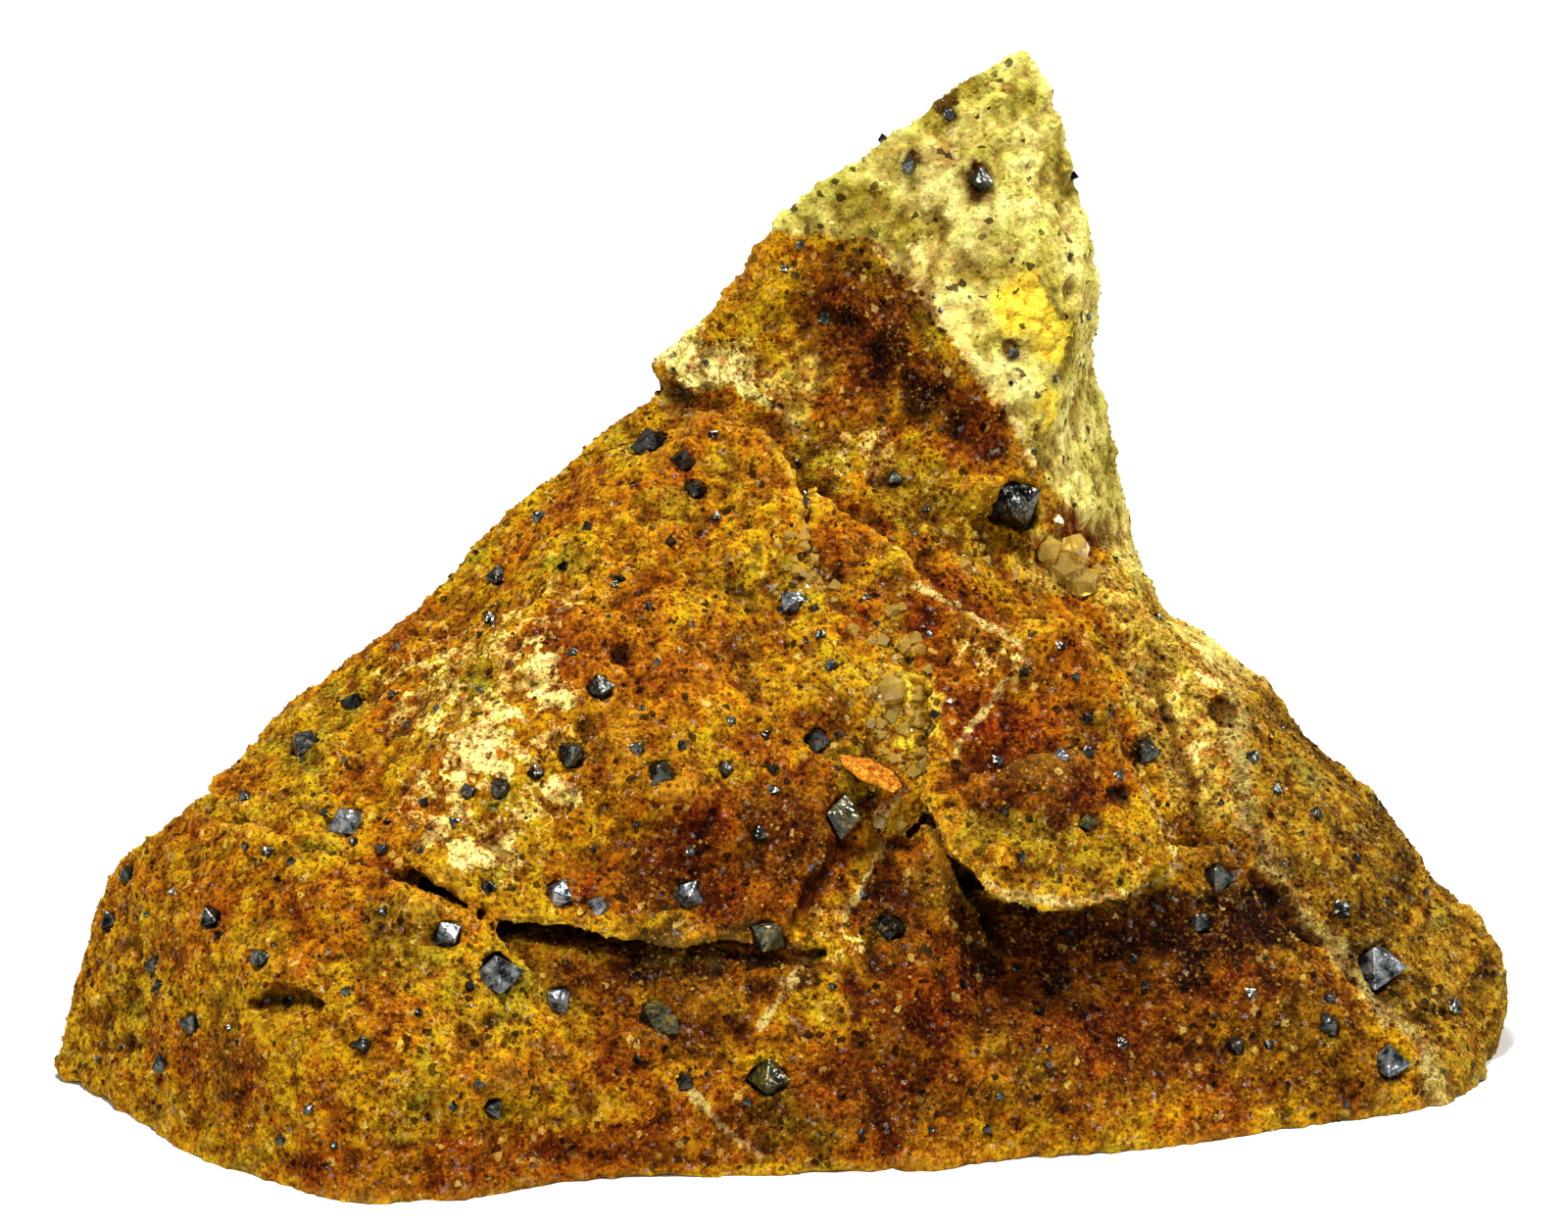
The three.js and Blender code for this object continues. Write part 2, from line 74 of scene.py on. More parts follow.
MM = 0.001
VIEW_TILT = math.radians(20.0)  # the photograph looks down at the rock by this much
LOOK = Vector((0.0, math.cos(VIEW_TILT), -math.sin(VIEW_TILT)))
VIEW_MIDDLE = Vector((0.1, -14.6))  # where across 0 and back 0 lie in the frame, in mm
IN_FRONT = -40.0  # mm, where the rays that look for the surface start
BASE_LEVEL = 1e-7  # metres, below which a point lies in the flat base


def seen(across: float, rise: float, back: float) -> Vector:
    """A place given as the tilted front view shows it.

    Args:
        across: millimetres right of the middle.
        rise: millimetres up in the view.
        back: level millimetres behind the rock's nearest point.

    Returns:
        The place in the frame, in metres.
    """
    height = (rise - back * math.sin(VIEW_TILT)) / math.cos(VIEW_TILT)
    return Vector((across + VIEW_MIDDLE.x, back + VIEW_MIDDLE.y, height)) * MM


def viewed(points: np.ndarray) -> np.ndarray:
    """Where the tilted front view shows points of the frame.

    Args:
        points: the points, in metres.

    Returns:
        The across and rise of each, in mm.
    """
    back = points[:, 1] / MM - VIEW_MIDDLE.y
    rise = points[:, 2] / MM * math.cos(VIEW_TILT) + back * math.sin(VIEW_TILT)
    return np.column_stack((points[:, 0] / MM - VIEW_MIDDLE.x, rise))


def inside_by(places: np.ndarray, outline: Sequence[tuple[float, float]]) -> np.ndarray:
    """How far places in the front view lie inside a closed outline.

    Args:
        places: across and rise of each place, in mm.
        outline: across and rise of the outline's corners, in mm.

    Returns:
        The distance to the outline in mm, negative outside it.
    """
    corners = np.array(outline)
    nearest = np.full(len(places), np.inf)
    inside = np.zeros(len(places), dtype=bool)
    for start, end in zip(corners, np.roll(corners, -1, axis=0)):
        edge = end - start
        offset = places - start
        share = np.clip(offset @ edge / (edge @ edge), 0.0, 1.0)
        nearest = np.minimum(nearest, np.linalg.norm(offset - share[:, None] * edge, axis=1))
        if edge[1]:
            spans = (start[1] > places[:, 1]) != (end[1] > places[:, 1])
            inside ^= spans & (offset[:, 0] < offset[:, 1] * edge[0] / edge[1])
    return np.where(inside, nearest, -nearest)


def linear(hex_colour: str) -> tuple[float, float, float, float]:
    """Converts a colour for a shader's socket.

    Args:
        hex_colour: the sRGB colour, as #RRGGBB.

    Returns:
        Its linear red, green and blue, and full alpha.
    """
    channels = [int(hex_colour[i : i + 2], 16) / 255 for i in (1, 3, 5)]
    curve = [c / 12.92 if c <= 0.04045 else ((c + 0.055) / 1.055) ** 2.4 for c in channels]
    return (curve[0], curve[1], curve[2], 1.0)


def per_metre(size_mm: float) -> float:
    """The texture scale whose pattern repeats about every size_mm."""
    return 1.0 / (size_mm * MM)


def add_node(
    tree: bpy.types.NodeTree,
    kind: str,
    inputs: dict,
    output: int | str = 0,
    stops: Sequence[tuple[float, str]] = (),
    **settings: str,
) -> bpy.types.NodeSocket | None:
    """Adds a node with its settings and links.

    Args:
        tree: the node tree.
        kind: the node's type name.
        inputs: input name or number to a value, or to the socket that feeds it.
        output: the name of the output that is wanted, or its number among the live ones.
        stops: position and sRGB hex colour of each stop, where the node has a ramp.
        settings: the node's own properties.

    Returns:
        That output, or None where the node has none.
    """
    node = tree.nodes.new(kind)
    for name, value in settings.items():
        setattr(node, name, value)
    for index, (position, colour) in enumerate(stops):
        elements = node.color_ramp.elements
        element = elements[index] if index < len(elements) else elements.new(1.0)
        element.position = position
        element.color = linear(colour)
    for key, value in inputs.items():
        socket = node.inputs[key]
        if isinstance(value, bpy.types.NodeSocket):
            tree.links.new(value, socket)
        else:
            socket.default_value = value
    if isinstance(output, str):
        return node.outputs[output]
    live = [socket for socket in node.outputs if socket.enabled]
    return live[output] if live else None


def shaded(name: str, wire: Callable[[bpy.types.NodeTree], dict]) -> bpy.types.Material:
    """Makes a material of one Principled shader.

    Args:
        name: the material's name.
        wire: adds what drives the shader to the tree, and returns the shader's inputs.

    Returns:
        The material.
    """
    material = bpy.data.materials.new(name)
    material.use_nodes = True
    tree = material.node_tree
    tree.nodes.clear()
    shader = add_node(tree, "ShaderNodeBsdfPrincipled", wire(tree))
    add_node(tree, "ShaderNodeOutputMaterial", {"Surface": shader})
    return material


def geometry_tree(name: str, sizes: dict[str, float | int]) -> tuple[bpy.types.NodeTree, dict]:
    """Makes a Geometry Nodes tree with geometry in and out, and named inputs.

    Args:
        name: the tree's name.
        sizes: each named input and its value, which is a whole number for a seed.

    Returns:
        The tree, and the inputs' values by the sockets' identifiers.
    """
    tree = bpy.data.node_groups.new(name, "GeometryNodeTree")
    add = tree.interface.new_socket
    add("Geometry", in_out="INPUT", socket_type="NodeSocketGeometry")
    values = {}
    for word, value in sizes.items():
        kind = "NodeSocketInt" if isinstance(value, int) else "NodeSocketFloat"
        values[add(word, in_out="INPUT", socket_type=kind).identifier] = value
    add("Geometry", in_out="OUTPUT", socket_type="NodeSocketGeometry")
    return tree, values


def run_tree(helper: bpy.types.Object, tree: bpy.types.NodeTree, values: dict) -> None:
    """Puts a tree on a helper object as a modifier.

    Args:
        helper: the helper object.
        tree: the Geometry Nodes tree.
        values: the inputs' values by the sockets' identifiers.
    """
    modifier = helper.modifiers.new(tree.name, "NODES")
    modifier.node_group = tree
    for identifier, value in values.items():
        modifier[identifier] = value


def evaluated_mesh(obj: bpy.types.Object) -> bpy.types.Mesh:
    """A plain mesh of the object with its modifiers applied."""
    depsgraph = bpy.context.evaluated_depsgraph_get()
    return bpy.data.meshes.new_from_object(obj.evaluated_get(depsgraph), depsgraph=depsgraph)


def finished_mesh(work: bmesh.types.BMesh, name: str) -> bpy.types.Mesh:
    """Turns a working mesh into a plain one and frees it.

    Args:
        work: the working mesh.
        name: the plain mesh's name.

    Returns:
        The plain mesh.
    """
    mesh = bpy.data.meshes.new(name)
    work.to_mesh(mesh)
    work.free()
    return mesh


def places_of(mesh: bpy.types.Mesh) -> np.ndarray:
    """Reads where a mesh's points are.

    Args:
        mesh: the mesh.

    Returns:
        A row of three coordinates for each point.
    """
    points = np.empty(len(mesh.vertices) * 3, dtype=np.float32)
    mesh.vertices.foreach_get("co", points)
    return points.reshape(-1, 3)


def keep_within(mesh: bpy.types.Mesh, box: tuple) -> None:
    """Moves the points that stand out of a box back to its faces.

    Args:
        mesh: the mesh.
        box: the box's lowest and highest corner, in metres.
    """
    low, high = (np.array(corner, dtype=np.float32) for corner in box)
    mesh.vertices.foreach_set("co", np.clip(places_of(mesh), low, high).ravel())
    mesh.update()


def new_object(name: str, mesh: bpy.types.Mesh) -> bpy.types.Object:
    """Makes an object in the scene.

    Args:
        name: its name.
        mesh: its mesh.

    Returns:
        The object.
    """
    obj = bpy.data.objects.new(name, mesh)
    bpy.context.scene.collection.objects.link(obj)
    return obj


def discard(obj: bpy.types.Object) -> None:
    """Removes a helper object.

    Args:
        obj: the object, whose mesh goes too.
    """
    mesh = obj.data
    bpy.data.objects.remove(obj)
    bpy.data.meshes.remove(mesh)


def finish_piece(name: str, mesh: bpy.types.Mesh) -> None:
    """Makes a piece of a dressed mesh and keeps it in the CAD model's box.

    Args:
        name: the piece's name.
        mesh: its mesh, in place and dressed.
    """
    keep_within(mesh, CAD_BOX)
    piece = new_object(name, mesh)
    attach(piece, "root")
    log.info("%s: %d faces", name, len(mesh.polygons))


class Zone(Enum):
    """The zones of the rock: stains, crusts and painted shade, by the attribute that holds them."""

    RUST = "rust"
    OLIVE = "olive"
    STRAW = "straw"
    # Dark red-brown, and painted shade.
    DUSK = "dusk"
    # Brown stains, and painted shade along the foot.
    BROWN = "brown"
    LIP = "lip"
    HONEY = "honey"
    YOLK = "yolk"
    # Painted shade and shadow, with dark halos round the apex crystals.
    SHADE = "shade"
    CHALK = "chalk"
    CREAM = "cream"
    VEIN = "vein"


# Where each zone lies on the front: across, rise and radius in millimetres.
ZONE_SPOTS: dict[Zone, list[tuple[float, float, float]]] = {
    Zone.RUST: [
        (-1.0, 24.2, 1.0), (-0.6, 23.2, 0.8), (2.0, 21.5, 1.3), (2.6, 19.0, 1.0),
        (5.0, 7.0, 2.0), (8.5, 6.6, 2.2), (12.0, 7.0, 2.2), (15.0, 7.4, 1.8),
        (7.2, 14.4, 1.5), (-5.0, 14.6, 1.8), (-3.0, 13.0, 1.6), (10.0, 3.8, 1.8),
        (1.5, 4.2, 1.6), (5.0, 34.1, 0.7), (3.6, 29.4, 1.0), (6.2, 25.0, 1.0),
    ],
    Zone.OLIVE: [
        (-12.4, 8.4, 1.6), (8.6, 11.6, 1.4), (2.4, 14.0, 1.2), (4.2, 23.0, 1.6),
        (1.4, 24.2, 1.2), (-3.6, 22.6, 1.0), (3.6, 8.6, 0.9), (6.4, 12.2, 0.9),
        (3.6, 34.0, 1.1), (5.2, 35.6, 0.9), (6.4, 33.4, 0.9), (4.4, 31.6, 1.1), (2.4, 32.2, 1.1),
        (6.2, 30.6, 0.8),
    ],
    Zone.STRAW: [
        (12.2, 17.8, 1.7), (13.6, 15.4, 1.1), (11.2, 19.8, 1.3), (8.6, 20.6, 1.3),
        (13.9, 12.9, 0.7), (-3.6, 26.4, 0.8), (0.8, 26.9, 0.9),
    ],
    # Dark red-brown, and painted shade on the foot and the lower front.
    Zone.DUSK: [
        (4.0, 4.4, 2.6), (8.6, 5.4, 3.0), (12.6, 6.4, 2.8), (16.4, 5.8, 2.4), (18.6, 4.0, 1.6),
        (3.4, 9.4, 1.5),
        (-3.2, 10.8, 1.9), (0.2, 11.8, 2.0), (1.4, 15.6, 1.1), (14.6, 11.4, 1.2), (7.4, 14.2, 1.5),
        (9.4, 13.4, 1.4), (6.8, 13.0, 1.1), (8.8, 12.8, 1.0), (1.2, 20.6, 1.2), (-18.0, 4.6, 1.2),
    ],
    Zone.LIP: [
        (6.0, 11.3, 0.5), (7.2, 10.7, 0.6), (8.6, 10.6, 0.7), (10.0, 10.7, 0.7),
        (11.4, 11.0, 0.7), (12.3, 11.4, 0.5),
    ],
    Zone.HONEY: [
        (3.5, 16.6, 0.9), (3.5, 15.2, 0.8), (3.3, 18.4, 0.8), (4.2, 14.2, 0.5),
        (0.7, 20.2, 0.7), (3.9, 17.4, 0.6), (3.0, 12.1, 0.4), (9.4, 20.6, 1.0), (6.2, 21.0, 0.7),
        (0.4, 21.4, 0.5),
    ],
    Zone.YOLK: [
        (4.5, 16.3, 0.8), (4.4, 15.0, 0.7), (4.4, 15.6, 0.7), (7.8, 29.2, 1.0), (3.9, 17.8, 0.5),
        (8.9, 28.0, 0.8), (8.6, 25.8, 0.7), (13.2, 17.2, 0.4), (11.6, 18.4, 0.3),
    ],
    # Painted shade and shadow: the peak's hollow, under the slab's lip, below the brow, beside the slab
    # and under the flake. The spots round the apex crystals are dark halos.
    Zone.SHADE: [
        (2.0, 28.9, 0.6), (3.6, 27.6, 0.8), (4.3, 26.3, 0.7), (5.4, 25.2, 0.6),
        (6.6, 24.2, 0.5), (6.2, 9.0, 0.9), (8.2, 8.8, 1.0),
        (10.4, 8.8, 1.0), (12.6, 9.1, 0.9), (14.4, 9.6, 0.7), (-4.0, 8.3, 0.8),
        (-1.4, 8.4, 0.8), (-6.2, 8.5, 0.6), (5.4, 35.5, 0.4), (4.1, 33.8, 0.4),
        (-4.6, 7.6, 0.7), (-2.6, 7.6, 0.7), (-0.6, 7.8, 0.7), (0.8, 7.4, 0.5),
        (6.4, 33.2, 0.5), (7.5, 27.7, 0.4), (11.5, 14.4, 0.6), (2.7, 13.0, 0.5),
        (6.6, 7.5, 0.7), (8.8, 7.2, 0.7), (13.4, 7.4, 0.8),
    ],
    Zone.CHALK: [
        (-9.6, 15.8, 2.4), (-9.0, 17.8, 1.6), (-11.0, 13.4, 1.6), (-9.4, 12.0, 1.6),
        (-12.0, 16.4, 1.3), (12.6, 16.4, 1.4), (13.6, 14.6, 0.8), (6.6, 17.8, 0.7),
        (1.8, 8.6, 0.9), (2.6, 24.4, 1.0), (-7.4, 19.4, 1.0),
    ],
    Zone.CREAM: [
        (-8.1, 17.0, 0.75), (-7.6, 16.2, 0.5), (-9.1, 15.9, 0.45), (-10.0, 14.9, 0.75),
        (-10.2, 14.2, 0.6), (-9.3, 14.1, 0.4), (-11.5, 15.1, 0.35), (-8.2, 18.2, 0.35),
        (-7.2, 13.2, 0.55), (-11.2, 12.0, 0.4), (-10.5, 11.4, 0.5), (-9.8, 11.2, 0.45),
        (-9.1, 11.7, 0.35), (-10.5, 12.6, 0.35), (-3.8, 27.5, 0.6), (-3.1, 27.5, 0.9),
        # The spot at across 4.6, rise 30.9 is a painted highlight.
        (-2.3, 27.4, 0.8), (-1.5, 26.9, 0.6), (7.7, 17.9, 0.3), (4.6, 30.9, 0.5),
        (11.0, 18.0, 0.3), (11.4, 17.2, 0.35), (12.3, 16.9, 0.25), (13.7, 14.8, 0.35),
        (13.4, 14.3, 0.25), (13.8, 13.5, 0.2), (10.9, 19.8, 0.25), (14.0, 17.0, 0.4),
    ],
}
# Larger areas of those zones: outlines of across and rise, in millimetres.
ZONE_AREAS: dict[Zone, list[list[tuple[float, float]]]] = {
    # Painted shadow under the slab's lip.
    Zone.SHADE: [
        [(4.9, 11.1), (6.2, 10.0), (8.3, 9.5), (10.6, 9.7), (12.8, 10.4), (15.4, 10.4),
         (16.6, 8.6), (15.0, 7.5), (12.8, 8.0), (9.6, 7.5), (7.4, 7.8), (5.9, 8.7)],
    ],
    # Dark red-brown with painted shade: the hollow under the peak, the band below the brow and the lower
    # right.
    Zone.DUSK: [
        [(0.2, 30.6), (2.6, 31.4), (4.3, 29.8), (5.7, 27.6), (7.5, 25.3), (8.6, 23.3),
         (6.4, 24.1), (4.2, 25.2), (2.6, 26.0), (1.2, 26.9), (0.2, 28.5)],
        [(-8.0, 8.3), (-4.2, 8.7), (0.4, 8.2), (0.9, 7.2), (-0.9, 6.2), (-1.2, 4.9),
         (-2.7, 4.1), (-4.5, 4.9), (-6.8, 6.2), (-8.3, 6.9)],
        [(12.8, 11.3), (14.7, 11.8), (16.0, 10.3), (19.2, 5.9), (20.5, 3.8), (18.6, 2.8),
         (12.8, 3.3), (8.3, 4.1), (5.1, 5.2), (5.6, 7.4), (9.6, 6.8), (14.4, 7.3)],
    ],
    Zone.RUST: [
        [(-1.9, 25.4), (-0.4, 25.9), (0.2, 24.2), (-0.5, 23.2), (-1.6, 24.0)],
        [(0.8, 29.6), (2.4, 30.6), (5.2, 27.4), (7.2, 24.6), (4.2, 26.0), (2.0, 27.2)],
    ],
    # The first area, along the foot, is painted shade, darker towards the bottom; the others, on the rib,
    # above the crack and on the slab, are brown stains.
    Zone.BROWN: [
        [(-15.0, 1.8), (-8.0, 2.4), (-4.0, 2.6), (-1.6, 3.2), (0.5, 4.6), (4.2, 4.6),
         (4.2, 1.4), (-0.5, 1.2), (-4.0, 0.8), (-8.0, 0.2), (-14.0, 0.0), (-17.0, 1.0)],
        [(3.4, 11.9), (5.1, 11.3), (6.4, 7.7), (5.9, 5.8), (3.2, 5.2), (1.9, 7.1), (2.2, 9.7)],
        [(-7.2, 9.6), (-3.0, 9.3), (1.0, 9.4), (2.5, 12.0), (1.2, 14.6), (-2.0, 13.2),
         (-6.0, 11.6)],
        [(4.3, 20.7), (6.7, 19.3), (7.8, 18.3), (9.6, 18.6), (10.7, 16.7), (10.9, 14.8),
         (11.4, 13.4), (9.9, 12.2), (6.4, 12.6), (4.9, 13.5), (5.3, 14.5), (4.6, 17.0),
         (4.0, 19.3)],
    ],
    Zone.STRAW: [
        [(11.1, 18.3), (14.1, 17.3), (14.3, 14.8), (14.4, 12.6), (12.9, 12.7), (11.6, 14.3),
         (11.0, 16.7)],
        [(-3.8, 28.1), (-2.1, 28.5), (-0.3, 27.3), (1.0, 25.7), (0.6, 24.7), (-1.0, 26.0),
         (-3.2, 26.5)],
    ],
    Zone.CHALK: [
        [(-13.2, 17.6), (-8.4, 19.4), (-6.8, 16.4), (-7.2, 12.4), (-9.8, 10.6), (-11.8, 12.0),
         (-11.4, 14.4), (-13.4, 15.6)],
        [(-3.8, 28.0), (-2.1, 28.4), (-0.3, 27.2), (-1.6, 26.6), (-3.2, 26.6)],
    ],
}
AREA_SOFTNESS = 0.9  # mm over which an area falls off across its outline
SHOWN_WITHIN = 0.8  # mm behind what the front view shows that still belongs to an area
# Pale veins, and pale lines along ridges and the slab's edges, on the front: lines of
# across and rise, in millimetres.
VEINS: list[list[tuple[float, float]]] = [
    [(4.35, 20.0), (6.98, 18.53), (7.78, 18.05)],
    [(7.78, 17.57), (6.72, 16.26), (6.4, 15.74), (5.82, 15.1), (5.5, 14.4)],
    [(3.4, 11.8), (2.8, 10.6), (2.0, 9.5), (1.65, 8.7)],
    [(0.86, 8.03), (0.1, 6.9), (-0.8, 5.66)],
    [(-3.0, 3.6), (-2.0, 2.4), (-0.6, 1.4)],
    [(5.57, 10.8), (7.23, 9.95), (9.41, 9.7), (11.52, 10.1), (12.74, 10.78)],
    [(-1.5, 26.7), (-0.6, 26.1), (0.1, 25.6), (0.5, 24.8)],
    [(3.0, 31.0), (4.4, 29.6), (5.9, 27.6), (7.4, 25.6), (8.3, 23.8)],
    [(3.9, 13.3), (3.2, 12.6), (2.75, 11.95)],
    [(12.9, 10.9), (12.5, 12.0), (11.7, 13.3)],
]
VEIN_STEP = 0.3  # mm between the spots along a vein
VEIN_RADIUS = 0.22  # mm
VEIN_FRAY = 0.35  # of the fraying of the other zones
FRAY_SEED = 7  # without it, the fraying is drawn anew in each run
# The edge between the front and the right flank, from the foot up: across and rise in mm.
RIDGE: list[tuple[float, float]] = [
    (21.4, 0.0), (21.0, 3.9), (20.5, 5.0), (19.65, 5.66), (18.56, 6.94), (17.7, 8.13),
    (16.5, 9.22), (15.8, 10.46), (15.14, 11.65), (14.56, 13.02), (14.3, 17.0),
    (11.7, 19.9), (8.32, 23.74), (7.39, 25.57), (5.86, 27.62), (4.38, 29.66),
    (2.91, 31.3), (-3.0, 31.9), (-12.0, 32.2),
]
BEHIND_FROM = 20.0  # mm of level distance back where the ridge begins to blur out
FLANK_FOOT = 17.0  # mm of rise where the pale upper flank ends and the amber wing begins


NOISE_LOW, NOISE_HIGH = 0.25, 0.75  # nearly all values of a noise lie between them
FRAY_SWING = 0.25  # how far a stain with a fray of 1 is pushed in and out by the noise


@dataclass(frozen=True)
class Stain:
    """How one zone changes the rock: tint, strength, and where and how its edge frays."""

    zone: Zone
    tint: str
    strength: float
    edge: float = 0.5
    soft: float = 0.3
    fray: float = 1.6
    blend: str = "MIX"
    pattern: str = "fray"


@dataclass(frozen=True)
class Layer:
    """A layer of colour: what drives it, how it blends, how strongly, and its tints."""

    source: str
    blend: str
    front: float
    flank: float
    stops: tuple[tuple[float, str], ...]


@dataclass(frozen=True)
class HostRockFinish:
    """Limonite and goethite on fine-grained rock, broken and weathered.

    An earthy, granular crust: ochre and rust in soft blotches of a few millimetres, and
    within them grains of 0.15 mm in every tone from black-brown to straw, so that the
    surface looks sandy. The hollows are darkened as painted shade, what stands out is
    lightened as a painted highlight, and pale lines run along veins, ridges and edges.
    A cream clay-like crust lies in porous patches and threads. Some zones are painted
    shade and shadow: under the lip, below the brow, in the hollow under the peak and
    along the foot. The flank is paler and smoother than the front: partly its own straw
    colour, partly painted light where the light falls strongly on it.
    """

    ground: tuple[tuple[float, str], ...] = (
        (0.36, "#8E4A04"),
        (0.44, "#B07206"),
        (0.5, "#BA8A0A"),
        (0.58, "#B89212"),
        (0.66, "#8C7E16"),
    )
    # Partly the flank's own straw colour and partly painted light: paler where the light falls strongly
    # on that face.
    flank: tuple[tuple[float, str], ...] = (
        (0.34, "#7A6A20"),
        (0.43, "#BAB04C"),
        (0.52, "#DAD272"),
        (0.62, "#E8E490"),
        (0.7, "#D0C03C"),
    )
    wing: tuple[tuple[float, str], ...] = (
        (0.34, "#382206"),
        (0.44, "#664A0C"),
        (0.5, "#967412"),
        (0.58, "#AC861C"),
        (0.68, "#7A6C28"),
    )
    # Name, size in mm, detail and roughness of each noise that drives a colour. The grain
    # is drawn at the size of 5 pixels of the photograph.
    noises: tuple[tuple[str, float, float, float], ...] = (
        ("blotch", 3.4, 5.0, 0.62),
        ("side", 2.6, 5.0, 0.62),
        ("fray", 0.9, 9.0, 0.78),
        ("lace", 1.3, 5.0, 0.6),
        ("hue", 0.45, 6.0, 0.75),
        ("mottle", 0.7, 9.0, 0.82),
        ("grain", 0.15, 3.0, 0.7),
    )
    # Size in mm of crystalline cells, and the names of the random values that each holds.
    cells: tuple[tuple[float, tuple[str, ...]], ...] = (
        (0.22, ("black", "glassy")),
        (0.15, ("shine",)),
    )
    stains: tuple[Stain, ...] = (
        Stain(Zone.RUST, "#9A4202", 0.5),
        Stain(Zone.OLIVE, "#8E7C18", 0.6),
        Stain(Zone.STRAW, "#C4AC48", 0.75),
        # Painted shade, tinted dark red-brown.
        Stain(Zone.DUSK, "#90693A", 0.9, edge=0.4, soft=0.7, fray=2.0, blend="MULTIPLY"),
        # Brown stains, and painted shade along the foot.
        Stain(Zone.BROWN, "#D0A270", 0.9, edge=0.42, soft=0.16, fray=0.8, blend="MULTIPLY"),
        Stain(Zone.LIP, "#B88818", 0.5),
        Stain(Zone.HONEY, "#B8901C", 0.7),
        Stain(Zone.YOLK, "#F8DC40", 0.9, edge=0.4, soft=0.4),
        # Painted shade and shadow.
        Stain(Zone.SHADE, "#5A2C0E", 0.95, edge=0.4, soft=0.4, blend="MULTIPLY"),
        Stain(Zone.CHALK, "#F8E284", 0.85, edge=0.94, soft=0.2, fray=2.6, pattern="lace"),
        Stain(Zone.CREAM, "#FFF296", 1.0, edge=0.52, soft=0.12, fray=2.8),
        Stain(Zone.VEIN, "#D8C47C", 0.8, edge=0.6, soft=0.25, fray=2.0),
    )
    layers: tuple[Layer, ...] = (
        Layer("hue", "MULTIPLY", 0.75, 0.4, ((0.4, "#DC8C60"), (0.48, "#FFFFFF"), (0.6, "#E4EEB0"))),
        Layer("mottle", "MULTIPLY", 0.85, 0.3, ((0.37, "#4A2208"), (0.45, "#B08C68"), (0.53, "#FFFFFF"))),
        Layer("grain", "MULTIPLY", 0.75, 0.25, ((0.38, "#4A240C"), (0.5, "#FFFFFF"))),
        Layer("grain", "SCREEN", 0.55, 0.4, ((0.54, "#000000"), (0.74, "#A87A14"))),
        Layer("black", "MULTIPLY", 0.85, 0.85, ((0.965, "#FFFFFF"), (0.975, "#1A0D04"))),
        Layer("glassy", "SCREEN", 0.5, 0.5, ((0.98, "#000000"), (0.99, "#C8AC54"))),
        Layer("tone", "MULTIPLY", 0.9, 0.3, ((0.0, "#5A2E10"), (0.3, "#C89C74"), (0.46, "#FFFFFF"))),
        Layer("tone", "SCREEN", 0.45, 0.3, ((0.6, "#000000"), (1.0, "#C8A048"))),
        # Painted shade: darker where the rock lies below its smoothed self, finely and broadly. The last
        # layer is a painted highlight, lighter where the rock stands out.
        Layer("relief", "MULTIPLY", 0.85, 0.7, ((0.1, "#4A260C"), (0.42, "#C8B49C"), (0.55, "#FFFFFF"))),
        Layer("hollow", "MULTIPLY", 0.85, 0.8, ((0.1, "#4A2408"), (0.42, "#E0D0B8"), (0.5, "#FFFFFF"))),
        Layer("hollow", "SCREEN", 0.4, 0.1, ((0.64, "#000000"), (0.95, "#8C6E20"))),
    )
    rim: str = "#B8AA68"  # of the edge between the front and the wing
    glint: tuple[float, float] = (0.965, 0.975)  # the random values where a grain shines

    def material(self) -> bpy.types.Material:
        """The finished material."""
        return shaded("limonite_stained_rock_weathered", self._inputs)

    def _inputs(self, tree: bpy.types.NodeTree) -> dict:
        """Wires the rock's colour, glints and fine grain.

        Args:
            tree: the material's empty node tree.

        Returns:
            The shader's inputs.
        """
        sources = self._sources(tree)
        colour = self._ground(tree, sources)
        colour = self._stained(tree, sources, colour)
        colour = self._layered(tree, sources, colour)
        glint = {"Value": sources["shine"], "From Min": self.glint[0], "From Max": self.glint[1]}
        rough = add_node(tree, "ShaderNodeMapRange", {**glint, "To Min": 0.9, "To Max": 0.14})
        sheen = add_node(tree, "ShaderNodeMapRange", {**glint, "To Min": 0.05, "To Max": 0.8})
        # Grains too fine for the mesh, as bump.
        inputs = {"Vector": sources["place"], "Scale": per_metre(0.2), "Detail": 4.0}
        fine = add_node(tree, "ShaderNodeTexNoise", inputs | {"Roughness": 0.75})
        bump = add_node(tree, "ShaderNodeBump", {"Distance": 0.12 * MM, "Height": fine})
        return {
            "Base Color": colour,
            "Roughness": rough,
            "Specular IOR Level": sheen,
            "Normal": bump,
        }

    def _sources(self, tree: bpy.types.NodeTree) -> dict[str, bpy.types.NodeSocket]:
        """Adds what drives the colours.

        Args:
            tree: the material's node tree.

        Returns:
            The socket of each noise, random value and stored attribute, by its name.
        """
        place = add_node(tree, "ShaderNodeTexCoord", {}, "Object")
        sources = {"place": place}
        for name, size_mm, detail, rough in self.noises:
            inputs = {"Vector": place, "Scale": per_metre(size_mm), "Detail": detail}
            sources[name] = add_node(tree, "ShaderNodeTexNoise", inputs | {"Roughness": rough})
        for size_mm, names in self.cells:
            inputs = {"Vector": place, "Scale": per_metre(size_mm)}
            cell = add_node(tree, "ShaderNodeTexVoronoi", inputs, "Color")
            random = add_node(tree, "ShaderNodeSeparateColor", {"Color": cell})
            sources.update(zip(names, random.node.outputs))
        stored = ["flank", "wing", "edge", "tone", "relief", "hollow"] + [z.value for z in Zone]
        for name in stored:
            sources[name] = add_node(tree, "ShaderNodeAttribute", {}, "Fac", attribute_name=name)
